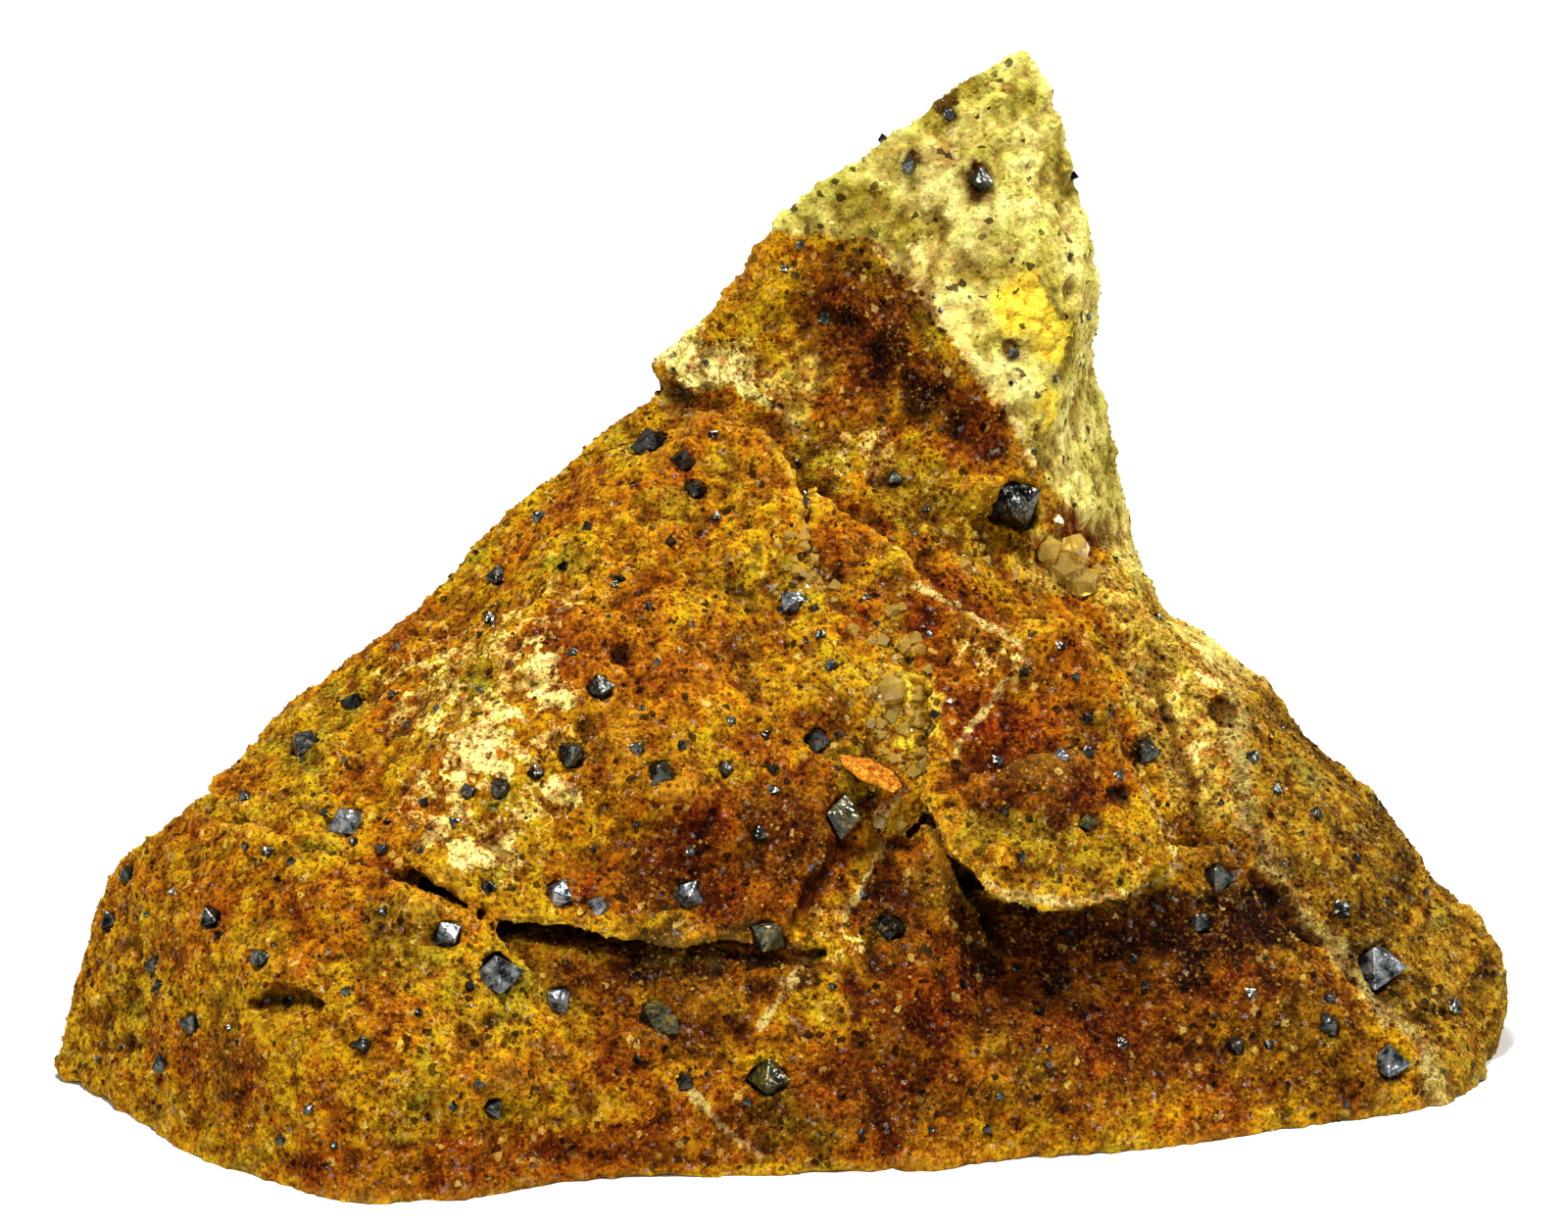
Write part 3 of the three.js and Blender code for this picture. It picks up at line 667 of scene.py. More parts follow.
        # Threads lie where the lace noise passes its middle value.
        gap = add_node(tree, "ShaderNodeMath", {0: sources["lace"], 1: 0.5}, operation="SUBTRACT")
        gap = add_node(tree, "ShaderNodeMath", {0: gap}, operation="ABSOLUTE")
        inputs = {"Value": gap, "From Max": 0.06, "To Min": 0.75, "To Max": 0.25}
        sources["lace"] = add_node(tree, "ShaderNodeMapRange", inputs)
        return sources

    def _ground(self, tree: bpy.types.NodeTree, sources: dict) -> bpy.types.NodeSocket:
        """Mixes the ground: rust and ochre in front, a straw flank with painted light, an amber wing.

        Args:
            tree: the material's node tree.
            sources: what drives the colours.

        Returns:
            The ground's colour.
        """
        colour = add_node(tree, "ShaderNodeValToRGB", {"Fac": sources["blotch"]}, stops=self.ground)
        for name, stops in (("flank", self.flank), ("wing", self.wing)):
            side = add_node(tree, "ShaderNodeValToRGB", {"Fac": sources["side"]}, stops=stops)
            inputs = {0: sources[name], 6: colour, 7: side}
            colour = add_node(tree, "ShaderNodeMix", inputs, data_type="RGBA")
        inputs = {0: sources["edge"], 6: colour, 7: linear(self.rim)}
        return add_node(tree, "ShaderNodeMix", inputs, data_type="RGBA")

    def _stained(
        self, tree: bpy.types.NodeTree, sources: dict, colour: bpy.types.NodeSocket
    ) -> bpy.types.NodeSocket:
        """Lays the stains and crusts in their places, with frayed edges.

        Args:
            tree: the material's node tree.
            sources: what drives the colours.
            colour: the colour below.

        Returns:
            The stained colour.
        """
        for stain in self.stains:
            inside = sources[stain.zone.value]
            swing = FRAY_SWING * stain.fray
            inputs = {"Value": sources[stain.pattern]}
            inputs |= {"From Min": NOISE_LOW, "From Max": NOISE_HIGH}
            inputs |= {"To Min": -swing, "To Max": swing}
            fray = add_node(tree, "ShaderNodeMapRange", inputs)
            level = add_node(tree, "ShaderNodeMath", {0: inside, 1: fray})
            inputs = {"Value": level, "From Min": stain.edge, "From Max": stain.edge + stain.soft}
            level = add_node(tree, "ShaderNodeMapRange", inputs)
            # Nothing of the stain is left where its zone ends, whatever the fraying.
            inputs = {"Value": inside, "From Min": 0.02, "From Max": 0.2, "To Max": stain.strength}
            gate = add_node(tree, "ShaderNodeMapRange", inputs)
            level = add_node(tree, "ShaderNodeMath", {0: level, 1: gate}, operation="MULTIPLY")
            inputs = {0: level, 6: colour, 7: linear(stain.tint)}
            how = {"data_type": "RGBA", "blend_type": stain.blend}
            colour = add_node(tree, "ShaderNodeMix", inputs, **how)
        return colour

    def _layered(
        self, tree: bpy.types.NodeTree, sources: dict, colour: bpy.types.NodeSocket
    ) -> bpy.types.NodeSocket:
        """Lays the grains, specks, painted shade in hollows and painted highlights over it all.

        Args:
            tree: the material's node tree.
            sources: what drives the colours.
            colour: the colour below.

        Returns:
            The rock's colour.
        """
        for layer in self.layers:
            inputs = {"Value": sources["flank"], "To Min": layer.front, "To Max": layer.flank}
            strength = add_node(tree, "ShaderNodeMapRange", inputs)
            inputs = {"Fac": sources[layer.source]}
            tint = add_node(tree, "ShaderNodeValToRGB", inputs, stops=layer.stops)
            inputs = {0: strength, 6: colour, 7: tint}
            how = {"data_type": "RGBA", "blend_type": layer.blend}
            colour = add_node(tree, "ShaderNodeMix", inputs, **how)
        return colour


@dataclass(frozen=True)
class MagnetiteFinish:
    """Magnetite grown as octahedra: black iron oxide with a metallic to greasy lustre.

    Nearly black, with grey mirror-like faces that are finely stepped and waved by growth,
    so that one face breaks a reflection into glints, and rusty dust caught in the steps.
    """

    name: str = "magnetite_grown_octahedra"
    dark: str = "#0E0F0D"
    light: str = "#565A54"
    dust: str = "#7A4E10"
    dust_starts: float = 0.58
    metallic: float = 0.85
    patch_mm: float = 0.55
    dust_mm: float = 0.3
    step_mm: float = 0.2
    wave_mm: float = 0.45

    def material(self) -> bpy.types.Material:
        """The finished material."""
        return shaded(self.name, self._inputs)

    def _inputs(self, tree: bpy.types.NodeTree) -> dict:
        """Wires the patchy grey metal and the dust on it.

        Args:
            tree: the material's empty node tree.

        Returns:
            The shader's inputs.
        """
        place = add_node(tree, "ShaderNodeTexCoord", {}, "Object")
        inputs = {"Vector": place, "Scale": per_metre(self.patch_mm), "Detail": 4.0}
        patch = add_node(tree, "ShaderNodeTexNoise", inputs | {"Roughness": 0.6})
        stops = ((0.38, self.dark), (0.66, self.light))
        tint = add_node(tree, "ShaderNodeValToRGB", {"Fac": patch}, stops=stops)
        inputs = {"Vector": place, "Scale": per_metre(self.dust_mm), "Detail": 6.0}
        dusty = add_node(tree, "ShaderNodeTexNoise", inputs | {"Roughness": 0.8})
        inputs = {"Value": dusty, "From Min": self.dust_starts, "From Max": self.dust_starts + 0.06}
        dusted = add_node(tree, "ShaderNodeMapRange", inputs | {"To Max": 0.85})
        inputs |= {"To Min": self.metallic, "To Max": 0.0}
        metal = add_node(tree, "ShaderNodeMapRange", inputs)
        inputs = {0: dusted, 6: tint, 7: linear(self.dust)}
        tint = add_node(tree, "ShaderNodeMix", inputs, data_type="RGBA")
        inputs = {"Value": patch, "From Min": 0.3, "From Max": 0.7, "To Min": 0.1, "To Max": 0.34}
        rough = add_node(tree, "ShaderNodeMapRange", inputs)
        normal = self._stepped(tree, place)
        return {"Base Color": tint, "Metallic": metal, "Roughness": rough, "Normal": normal}

    def _stepped(
        self, tree: bpy.types.NodeTree, place: bpy.types.NodeSocket
    ) -> bpy.types.NodeSocket:
        """Wires faces that are waved and finely stepped by growth.

        Args:
            tree: the material's node tree.
            place: the place on the crystal.

        Returns:
            The faces' normal.
        """
        inputs = {"Vector": place, "Scale": per_metre(self.wave_mm)}
        wave = add_node(tree, "ShaderNodeTexNoise", inputs)
        inputs = {"Strength": 0.8, "Distance": 0.12 * MM, "Height": wave}
        waved = add_node(tree, "ShaderNodeBump", inputs)
        inputs = {"Vector": place, "Scale": per_metre(self.step_mm)}
        steps = add_node(tree, "ShaderNodeTexVoronoi", inputs, "Distance", distance="CHEBYCHEV")
        inputs = {"Strength": 0.7, "Distance": 0.04 * MM, "Height": steps, "Normal": waved}
        return add_node(tree, "ShaderNodeBump", inputs)


# Magnetite under a thin film of olive iron clay, which dulls it and tints it green.
COATED_MAGNETITE = MagnetiteFinish(
    name="magnetite_coated_olive",
    dark="#16160A",
    light="#444428",
    dust="#6C581C",
    dust_starts=0.52,
    metallic=0.35,
)
# Clean magnetite faces turned to the light, which look light grey to blue-white: painted
# reflection, as a lighter grey base on the crystals that mirror the light.
PAINTED_REFLECTION_MAGNETITE = MagnetiteFinish(
    name="magnetite_bright_faces",
    dark="#1C1E20",
    light="#9CA2A4",
    dust_starts=0.6,
    metallic=0.7,
    patch_mm=0.4,
)


@dataclass(frozen=True)
class FlakeFinish:
    """A flake of limonite crumbs grown together: orange-brown ochre, granular and matt."""

    grain_mm: float = 0.2
    tones: tuple[tuple[float, str], ...] = (
        (0.38, "#7A3A06"),
        (0.47, "#B8680A"),
        (0.54, "#D08A14"),
        (0.64, "#E0B040"),
    )

    def material(self) -> bpy.types.Material:
        """The finished material."""
        return shaded("limonite_flake_granular", self._inputs)

    def _inputs(self, tree: bpy.types.NodeTree) -> dict:
        """Wires the flake's tones and grain.

        Args:
            tree: the material's empty node tree.

        Returns:
            The shader's inputs.
        """
        place = add_node(tree, "ShaderNodeTexCoord", {}, "Object")
        inputs = {"Vector": place, "Scale": per_metre(self.grain_mm), "Detail": 6.0}
        grain = add_node(tree, "ShaderNodeTexNoise", inputs | {"Roughness": 0.8})
        bump = add_node(tree, "ShaderNodeBump", {"Distance": 0.08 * MM, "Height": grain})
        colour = add_node(tree, "ShaderNodeValToRGB", {"Fac": grain}, stops=self.tones)
        inputs = {"Base Color": colour, "Normal": bump}
        return inputs | {"Roughness": 0.85, "Specular IOR Level": 0.2}


@dataclass(frozen=True)
class QuartzFinish:
    """Quartz grains stained by limonite: glassy, honey-coloured and see-through."""

    honey: str = "#EAC456"
    transmission: float = 0.75
    ior: float = 1.544
    roughness: float = 0.12

    def material(self) -> bpy.types.Material:
        """Makes the material.

        Returns:
            The finished material.
        """
        inputs = {"Base Color": linear(self.honey), "Transmission Weight": self.transmission}
        inputs |= {"IOR": self.ior, "Roughness": self.roughness}
        return shaded("iron_stained_quartz_glassy", lambda tree: inputs)


@dataclass(frozen=True)
class FloorFinish:
    """Matt pale paper, so that nothing competes with the rock."""

    grey: str = "#D9D7D2"
    roughness: float = 0.9

    def material(self) -> bpy.types.Material:
        """Makes the material.

        Returns:
            The finished material.
        """
        inputs = {"Base Color": linear(self.grey), "Roughness": self.roughness}
        return shaded("matt_pale_paper", lambda tree: inputs)


SPOT_REACH = 1.6  # of a spot's radius, where its zone has fallen off to nothing
FRAYS = ((0.9, 0.5), (0.35, 0.22))  # size and reach in mm of each noise that frays zones
SIDE_FRAY = 0.6  # of that fraying, where the front meets the flank and the wing
BEHIND_SPAN = 4.0  # mm of level distance over which the ridge blurs out
RIDGE_BLUR = 0.25  # mm over which the front passes into the sides
RIDGE_BLUR_BEHIND = 5.0  # mm more of it where the ridge has blurred out
FLANK_BLUR = 1.6  # mm over which the flank passes into the wing
RIM_WIDTH = 0.6  # mm over which the wing's pale rim, beside the ridge, falls off
RIM_REACH = 1.6  # of that width, where the rim has fallen off to nothing
RIM_STRENGTH = 0.8
EVEN_TONE = 0.5  # the rock's own value of what varies the tone of each loose grain


def vein_spots() -> list[tuple[float, float, float]]:
    """Spots along every vein.

    Returns:
        The across, rise and radius of each spot, in millimetres.
    """
    spots = []
    for line in VEINS:
        for (across, rise), (next_across, next_rise) in zip(line, line[1:]):
            length = math.hypot(next_across - across, next_rise - rise)
            for share in np.arange(0.0, 1.0, VEIN_STEP / length):
                place = across + (next_across - across) * share, rise + (next_rise - rise) * share
                spots.append((*place, VEIN_RADIUS))
    return spots


@dataclass(frozen=True)
class Bumps:
    """One size of bumps: a texture about its middle value, times a height in mm."""

    word: str
    size_mm: float
    height_mm: float
    detail: float = 0.0
    texture: str = "ShaderNodeTexNoise"
    output: str = "Fac"
    gain: float = 2.4


@dataclass
class HostRock:
    """The host rock: the CAD solid, refined and given its earthy grain."""

    voxel_mm: float = 0.2
    quick_voxel_mm: float = 0.4
    bumps: tuple[Bumps, ...] = (
        Bumps("Lump", 2.2, 0.3, 5.0),
        Bumps("Crumb", 0.8, 0.16, 3.0),
        Bumps("Grain", 0.4, 0.07, 0.0, "ShaderNodeTexVoronoi", "Distance", -2.0),
    )
    # Name of each stored relief, rounds of smoothing, and the span in mm that it covers.
    reliefs: tuple[tuple[str, int, float], ...] = (("relief", 6, 0.16), ("hollow", 80, 0.7))
    most_faces: int = 190_000
    piece: bpy.types.Object | None = None
    tree: BVHTree | None = None

    def build(self, finish: HostRockFinish) -> None:
        """Makes the fine rock in place of the CAD node and dresses it.

        Args:
            finish: the rock's finish.
        """
        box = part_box("host_rock")
        helper = new_object("host_rock_helper", self._merged_copy(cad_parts["host_rock"]))
        remesh = helper.modifiers.new("even_faces", "REMESH")
        remesh.mode = "VOXEL"
        remesh.voxel_size = self.voxel_mm
        self._add_grain(helper)
        fine = evaluated_mesh(helper)
        discard(helper)
        fine.transform(Matrix.Scale(MM, 4))
        self.piece = new_object("host_rock_crust", fine)
        keep_within(self.piece.data, box)
        self._thin_base()
        self._thin_faces()
        keep_within(self.piece.data, box)
        self.tree = BVHTree.FromObject(self.piece, bpy.context.evaluated_depsgraph_get())
        self._mark_zones()
        self.piece.data.materials.clear()
        self.piece.data.materials.append(finish.material())
        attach(self.piece, "root")
        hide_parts("host_rock")
        log.info("%s: %d faces", self.piece.name, len(self.piece.data.polygons))

    def surface(self, across: float, rise: float) -> tuple[Vector, Vector] | None:
        """The point and normal that the front view meets at a place, if any."""
        point, normal, _, _ = self.tree.ray_cast(seen(across, rise, IN_FRONT), LOOK)
        return (point, normal) if point else None

    def _merged_copy(self, node: bpy.types.Object) -> bpy.types.Mesh:
        """Copies the CAD node's mesh with its shared corners merged.

        Args:
            node: the CAD node.

        Returns:
            The copy, in millimetres.
        """
        work = bmesh.new()
        work.from_mesh(node.data)
        bmesh.ops.remove_doubles(work, verts=work.verts, dist=BASE_LEVEL)
        bmesh.ops.scale(work, vec=(1 / MM,) * 3, verts=work.verts)
        return finished_mesh(work, "host_rock_merged")

    def _add_grain(self, helper: bpy.types.Object) -> None:
        """Adds the Geometry Nodes modifier that raises lumps, crumbs and grains.

        Args:
            helper: the rock in millimetres, already evenly meshed.
        """
        sizes = {}
        for bumps in self.bumps:
            sizes |= {f"{bumps.word} Size": bumps.size_mm, f"{bumps.word} Height": bumps.height_mm}
        tree, values = geometry_tree("earthy_grain", sizes)
        given = tree.nodes.new("NodeGroupInput").outputs
        place = add_node(tree, "GeometryNodeInputPosition", {})
        total = 0.0
        for bumps in self.bumps:
            inputs = {0: 1.0, 1: given[f"{bumps.word} Size"]}
            scale = add_node(tree, "ShaderNodeMath", inputs, operation="DIVIDE")
            inputs = {"Vector": place, "Scale": scale, "Detail": bumps.detail}
            value = add_node(tree, bumps.texture, inputs, bumps.output)
            value = add_node(tree, "ShaderNodeMath", {0: value, 1: 0.5}, operation="SUBTRACT")
            inputs = {0: value, 1: bumps.gain}
            value = add_node(tree, "ShaderNodeMath", inputs, operation="MULTIPLY")
            inputs = {0: value, 1: given[f"{bumps.word} Height"]}
            height = add_node(tree, "ShaderNodeMath", inputs, operation="MULTIPLY")
            total = add_node(tree, "ShaderNodeMath", {0: total, 1: height})
        normal = add_node(tree, "GeometryNodeInputNormal", {})
        inputs = {0: normal, "Scale": total}
        offset = add_node(tree, "ShaderNodeVectorMath", inputs, operation="SCALE")
        inputs = {"Geometry": given["Geometry"], "Offset": offset}
        moved = add_node(tree, "GeometryNodeSetPosition", inputs)
        for name, rounds, span_mm in self.reliefs:
            moved = self._store_relief(tree, moved, name, rounds, span_mm)
        add_node(tree, "NodeGroupOutput", {"Geometry": moved})
        run_tree(helper, tree, values)

    def _store_relief(
        self,
        tree: bpy.types.NodeTree,
        geometry: bpy.types.NodeSocket,
        name: str,
        rounds: int,
        span_mm: float,
    ) -> bpy.types.NodeSocket:
        """Stores how far each point stands out from the smoothed rock, as 0 to 1.

        Args:
            tree: the node tree.
            geometry: the rock.
            name: the attribute's name.
            rounds: rounds of smoothing.
            span_mm: how far out gives 1, and how far in gives 0.

        Returns:
            The rock with its attribute.
        """
        place = add_node(tree, "GeometryNodeInputPosition", {})
        inputs = {"Value": place, "Iterations": rounds}
        smooth = add_node(tree, "GeometryNodeBlurAttribute", inputs, data_type="FLOAT_VECTOR")
        gap = add_node(tree, "ShaderNodeVectorMath", {0: place, 1: smooth}, operation="SUBTRACT")
        inputs = {0: gap, 1: add_node(tree, "GeometryNodeInputNormal", {})}
        proud = add_node(tree, "ShaderNodeVectorMath", inputs, "Value", operation="DOT_PRODUCT")
        inputs = {"Value": proud, "From Min": -span_mm, "From Max": span_mm}
        level = add_node(tree, "ShaderNodeMapRange", inputs)
        inputs = {"Geometry": geometry, "Name": name, "Value": level}
        how = {"data_type": "FLOAT", "domain": "POINT"}
        return add_node(tree, "GeometryNodeStoreNamedAttribute", inputs, **how)

    @staticmethod
    def _grown_together(work: bmesh.types.BMesh) -> set[bmesh.types.BMVert]:
        """Finds the points that edges join to the peak.

        Args:
            work: the rock.

        Returns:
            Those points.
        """
        peak = max(work.verts, key=lambda vertex: vertex.co.z)
        joined = {peak}
        border = [peak]
        while border:
            vertex = border.pop()
            for edge in vertex.link_edges:
                other = edge.other_vert(vertex)
                if other not in joined:
                    joined.add(other)
                    border.append(other)
        return joined

    @staticmethod
    def _is_flat(face: bmesh.types.BMFace) -> bool:
        """Whether a face lies in the flat base."""
        return all(vertex.co.z < BASE_LEVEL for vertex in face.verts)

    def _thin_base(self) -> None:
        """Drops loose crumbs, and the even faces of the flat base, which needs few."""
        work = bmesh.new()
        work.from_mesh(self.piece.data)
        joined = self._grown_together(work)
        crumbs = [vertex for vertex in work.verts if vertex not in joined]
        bmesh.ops.delete(work, geom=crumbs, context="VERTS")
        inner = [e for e in work.edges if all(self._is_flat(face) for face in e.link_faces)]
        bmesh.ops.dissolve_edges(work, edges=inner, use_verts=True)
        bmesh.ops.triangulate(work, faces=work.faces[:])
        work.to_mesh(self.piece.data)
        work.free()

    def _thin_faces(self) -> None:
        """Thins the faces to a number that the exported file keeps as they are."""
        thinner = self.piece.modifiers.new("fewer_faces", "DECIMATE")
        thinner.ratio = min(1.0, self.most_faces / len(self.piece.data.polygons))
        thinned = evaluated_mesh(self.piece)
        self.piece.modifiers.clear()
        even = self.piece.data
        self.piece.data = thinned
        bpy.data.meshes.remove(even)

    def _mark_zones(self) -> None:
        """Stores each zone as an attribute that falls off round its spots and areas."""
        points = places_of(self.piece.data)
        thrown = self._fraying(points)
        places = viewed(points + thrown)
        shown = np.array([self._is_shown(Vector(point)) for point in points])
        for zone in Zone:
            is_vein = zone is Zone.VEIN
            spots = vein_spots() if is_vein else ZONE_SPOTS.get(zone, [])
            level = self._level_round(spots, points + thrown * (VEIN_FRAY if is_vein else 1.0))
            for outline in ZONE_AREAS.get(zone, []):
                inside = 0.5 + inside_by(places, outline) / AREA_SOFTNESS
                level[shown] = np.maximum(level[shown], inside[shown])
            self._store(zone.value, np.clip(level, 0.0, 1.0))
        self._mark_sides(points, viewed(points + SIDE_FRAY * thrown))
        self._store("tone", np.full(len(points), EVEN_TONE))

    def _level_round(
        self, spots: list[tuple[float, float, float]], drawn: np.ndarray
    ) -> np.ndarray:
        """How strongly a zone's spots mark each point.

        Args:
            spots: across, rise and radius of each spot, in mm.
            drawn: the rock's points, thrown off by the fraying.

        Returns:
            A value for each point, above 0 near a spot.
        """
        level = np.zeros(len(drawn), dtype=np.float32)
        for across, rise, radius in spots:
            hit = self.surface(across, rise)
            if hit is None:
                continue
            near = np.abs(drawn[:, 0] - hit[0].x) < SPOT_REACH * radius * MM
            distance = np.linalg.norm(drawn[near] - np.array(hit[0]), axis=1)
            level[near] = np.maximum(level[near], SPOT_REACH - distance / (radius * MM))
        return level

    def _mark_sides(self, points: np.ndarray, places: np.ndarray) -> None:
        """Stores the pale upper flank, the wing below it and the wing's rim.

        Args:
            points: the rock's points, in metres.
            places: their across and rise with some fraying, in mm.
        """
        across, rise = places.T
        ridge = np.array(RIDGE)
        beyond = across - np.interp(rise, ridge[:, 1], ridge[:, 0])
        back = points[:, 1] / MM - VIEW_MIDDLE.y
        behind = np.clip((back - BEHIND_FROM) / BEHIND_SPAN, 0.0, 1.0)
        side = np.clip(beyond / (RIDGE_BLUR + RIDGE_BLUR_BEHIND * behind) + 0.5, 0.0, 1.0)
        upper = np.clip((rise - FLANK_FOOT) / FLANK_BLUR + 0.5, 0.0, 1.0)
        rim = np.clip(RIM_REACH - beyond / RIM_WIDTH, 0.0, 1.0) * (1.0 - upper) * (1.0 - behind)
        self._store("flank", side * upper)
        self._store("wing", side * (1.0 - upper))
        self._store("edge", RIM_STRENGTH * side * rim)

    def _is_shown(self, point: Vector) -> bool:
        """Whether the front view shows a point.

        Args:
            point: a point of the rock.

        Returns:
            Whether it shows, or lies just behind what shows.
        """
        start = point - LOOK * -IN_FRONT * MM
        _, _, _, distance = self.tree.ray_cast(start, LOOK)
        return distance is not None and distance > (-IN_FRONT - SHOWN_WITHIN) * MM

    def _fraying(self, points: np.ndarray) -> np.ndarray:
        """How far each point is thrown off when the zones are drawn, so that edges fray.

        Args:
            points: the rock's points, in metres.

        Returns:
            The move of each point, in metres.
        """
        noise.seed_set(FRAY_SEED)
        thrown = np.zeros_like(points)
        for size_mm, reach_mm in FRAYS:
            scaled = (points / (size_mm * MM)).tolist()
            moves = [noise.noise_vector(place) for place in scaled]
            thrown += np.array(moves, dtype=np.float32) * reach_mm * MM
        return thrown

    def _store(self, name: str, values: np.ndarray) -> None:
        """Stores one value for each of the rock's points."""
        attribute = self.piece.data.attributes.new(name, "FLOAT", "POINT")
        attribute.data.foreach_set("value", values.astype(np.float32))


def worn_edges(crystal: bpy.types.Object, width_mm: float) -> None:
    """Merges a CAD crystal's shared corners and bevels its edges, by modifiers.

    Args:
        crystal: the crystal.
        width_mm: the bevel's width.
    """
    weld = crystal.modifiers.new("weld", "WELD")
    weld.merge_threshold = 1e-7
    bevel = crystal.modifiers.new("worn_edges", "BEVEL")
    bevel.width = width_mm * MM
    bevel.segments = 1


@dataclass
class MagnetiteCrystals:
    """The magnetite crystals that the CAD seats in the rock."""

    bevel_mm: float = 0.035
    coated: tuple[int, ...] = (31, 43, 44, 45, 49)
    # Crystals given the lighter magnetite, as painted reflection.
    bright: tuple[int, ...] = (16, 20, 27, 28, 29, 40, 41, 42, 48, 56, 57)

    def dress(self, clean: bpy.types.Material) -> None:
        """Gives each CAD crystal its finish and slightly worn edges.

        Args:
            clean: the magnetite material of most crystals.
        """
        special = dict.fromkeys(self.coated, COATED_MAGNETITE.material())
        # Painted reflection: the lighter magnetite.
        special |= dict.fromkeys(self.bright, PAINTED_REFLECTION_MAGNETITE.material())
        nodes = [o for name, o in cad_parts.items() if name.startswith("magnetite_crystal")]
        for crystal in nodes:
            number = int(crystal.name.rsplit("_", 1)[1])
            crystal.data.materials.clear()
            crystal.data.materials.append(special.get(number, clean))
            worn_edges(crystal, self.bevel_mm)
        log.info("magnetite crystals: %d", len(nodes))


def octahedron(name: str, cut: float) -> bpy.types.Object:
    """Makes a helper octahedron of radius 1.

    Args:
        name: its name.
        cut: how much of each edge is cut off at its corners, as a share of the edge.

    Returns:
        The helper object.
    """
    work = bmesh.new()
    corners = [Vector(v) for v in ((1, 0, 0), (-1, 0, 0), (0, 1, 0), (0, -1, 0), (0, 0, 1), (0, 0, -1))]
    points = [a.lerp(b, cut) for a in corners for b in corners if abs(a.dot(b)) < 0.5]
    for point in points:
        work.verts.new(point)
    bmesh.ops.remove_doubles(work, verts=work.verts, dist=1e-4)
    bmesh.ops.convex_hull(work, input=work.verts[:])
    bmesh.ops.recalc_face_normals(work, faces=work.faces[:])
    return new_object(name, finished_mesh(work, name))


@dataclass
class SurfaceScatter:
    """Small solids scattered over the rock by Geometry Nodes, half sunk in it."""

    name: str
    slot: str
    per_mm2: float
    smallest_mm: float
    largest_mm: float
    corner_cut: float
    seed: int
    where: str = ""  # the stored value that thins them out, if any
    lowest_mm: float = 0.5  # height above the floor where they begin
    skew: float = 2.2  # above 1, small solids are more common than large ones

    def build(self, rock: HostRock, material: bpy.types.Material) -> None:
        """Scatters, joins and dresses the solids.

        Args:
            rock: the finished host rock.
            material: their finish.
        """
        shape = octahedron(f"{self.name}_shape", self.corner_cut)
        helper = new_object(f"{self.name}_helper", rock.piece.data.copy())
        run_tree(helper, *self._tree(shape, material))
        mesh = evaluated_mesh(helper)
        discard(helper)
        discard(shape)
        finish_piece(self.name, mesh)

    def _tree(
        self, shape: bpy.types.Object, material: bpy.types.Material
    ) -> tuple[bpy.types.NodeTree, dict]:
        """Builds the tree that scatters, sizes, turns, joins and dresses the solids.

        Args:
            shape: one solid, of radius 1.
            material: their finish.

        Returns:
            The tree, and its inputs' values by the sockets' identifiers.
        """
        sizes = {
            "Density": self.per_mm2 / MM**2,
            "Smallest": self.smallest_mm * MM,
            "Largest": self.largest_mm * MM,
            "Lowest": self.lowest_mm * MM,
            "Seed": self.seed,
        }
        tree, values = geometry_tree(f"{self.name}_scatter", sizes)
        given = tree.nodes.new("NodeGroupInput").outputs
        place = add_node(tree, "GeometryNodeInputPosition", {})
        height = add_node(tree, "ShaderNodeSeparateXYZ", {0: place}, "Z")
        inputs = {0: height, 1: given["Lowest"]}
        above = add_node(tree, "ShaderNodeMath", inputs, operation="GREATER_THAN")
        density = given["Density"]
        if self.where:
            inputs = {"Name": self.where}
            zone = add_node(tree, "GeometryNodeInputNamedAttribute", inputs, data_type="FLOAT")
            density = add_node(tree, "ShaderNodeMath", {0: density, 1: zone}, operation="MULTIPLY")
        inputs = {"Mesh": given["Geometry"], "Selection": above, "Density": density}
        inputs["Seed"] = given["Seed"]
        points = add_node(tree, "GeometryNodeDistributePointsOnFaces", inputs)
        inputs = {"Seed": given["Seed"]}
        draw = add_node(tree, "FunctionNodeRandomValue", inputs, data_type="FLOAT")
        skewed = add_node(tree, "ShaderNodeMath", {0: draw, 1: self.skew}, operation="POWER")
        inputs = {"Value": skewed, "To Min": given["Smallest"], "To Max": given["Largest"]}
        size = add_node(tree, "ShaderNodeMapRange", inputs)
        inputs = {1: (math.tau,) * 3, "Seed": self.seed + 1}
        turn = add_node(tree, "FunctionNodeRandomValue", inputs, data_type="FLOAT_VECTOR")
        solid = add_node(tree, "GeometryNodeObjectInfo", {"Object": shape}, "Geometry")
        inputs = {"Points": points, "Instance": solid, "Rotation": turn, "Scale": size}
        placed = add_node(tree, "GeometryNodeInstanceOnPoints", inputs)
        inputs = {"Seed": self.seed + 2}
        tone = add_node(tree, "FunctionNodeRandomValue", inputs, data_type="FLOAT")
        inputs = {"Geometry": placed, "Name": "tone", "Value": tone}
        how = {"data_type": "FLOAT", "domain": "INSTANCE"}
        toned = add_node(tree, "GeometryNodeStoreNamedAttribute", inputs, **how)
        real = add_node(tree, "GeometryNodeRealizeInstances", {"Geometry": toned})
        inputs = {"Geometry": real, "Material": material}
        dressed = add_node(tree, "GeometryNodeSetMaterial", inputs)
        add_node(tree, "NodeGroupOutput", {"Geometry": dressed})
        return tree, values


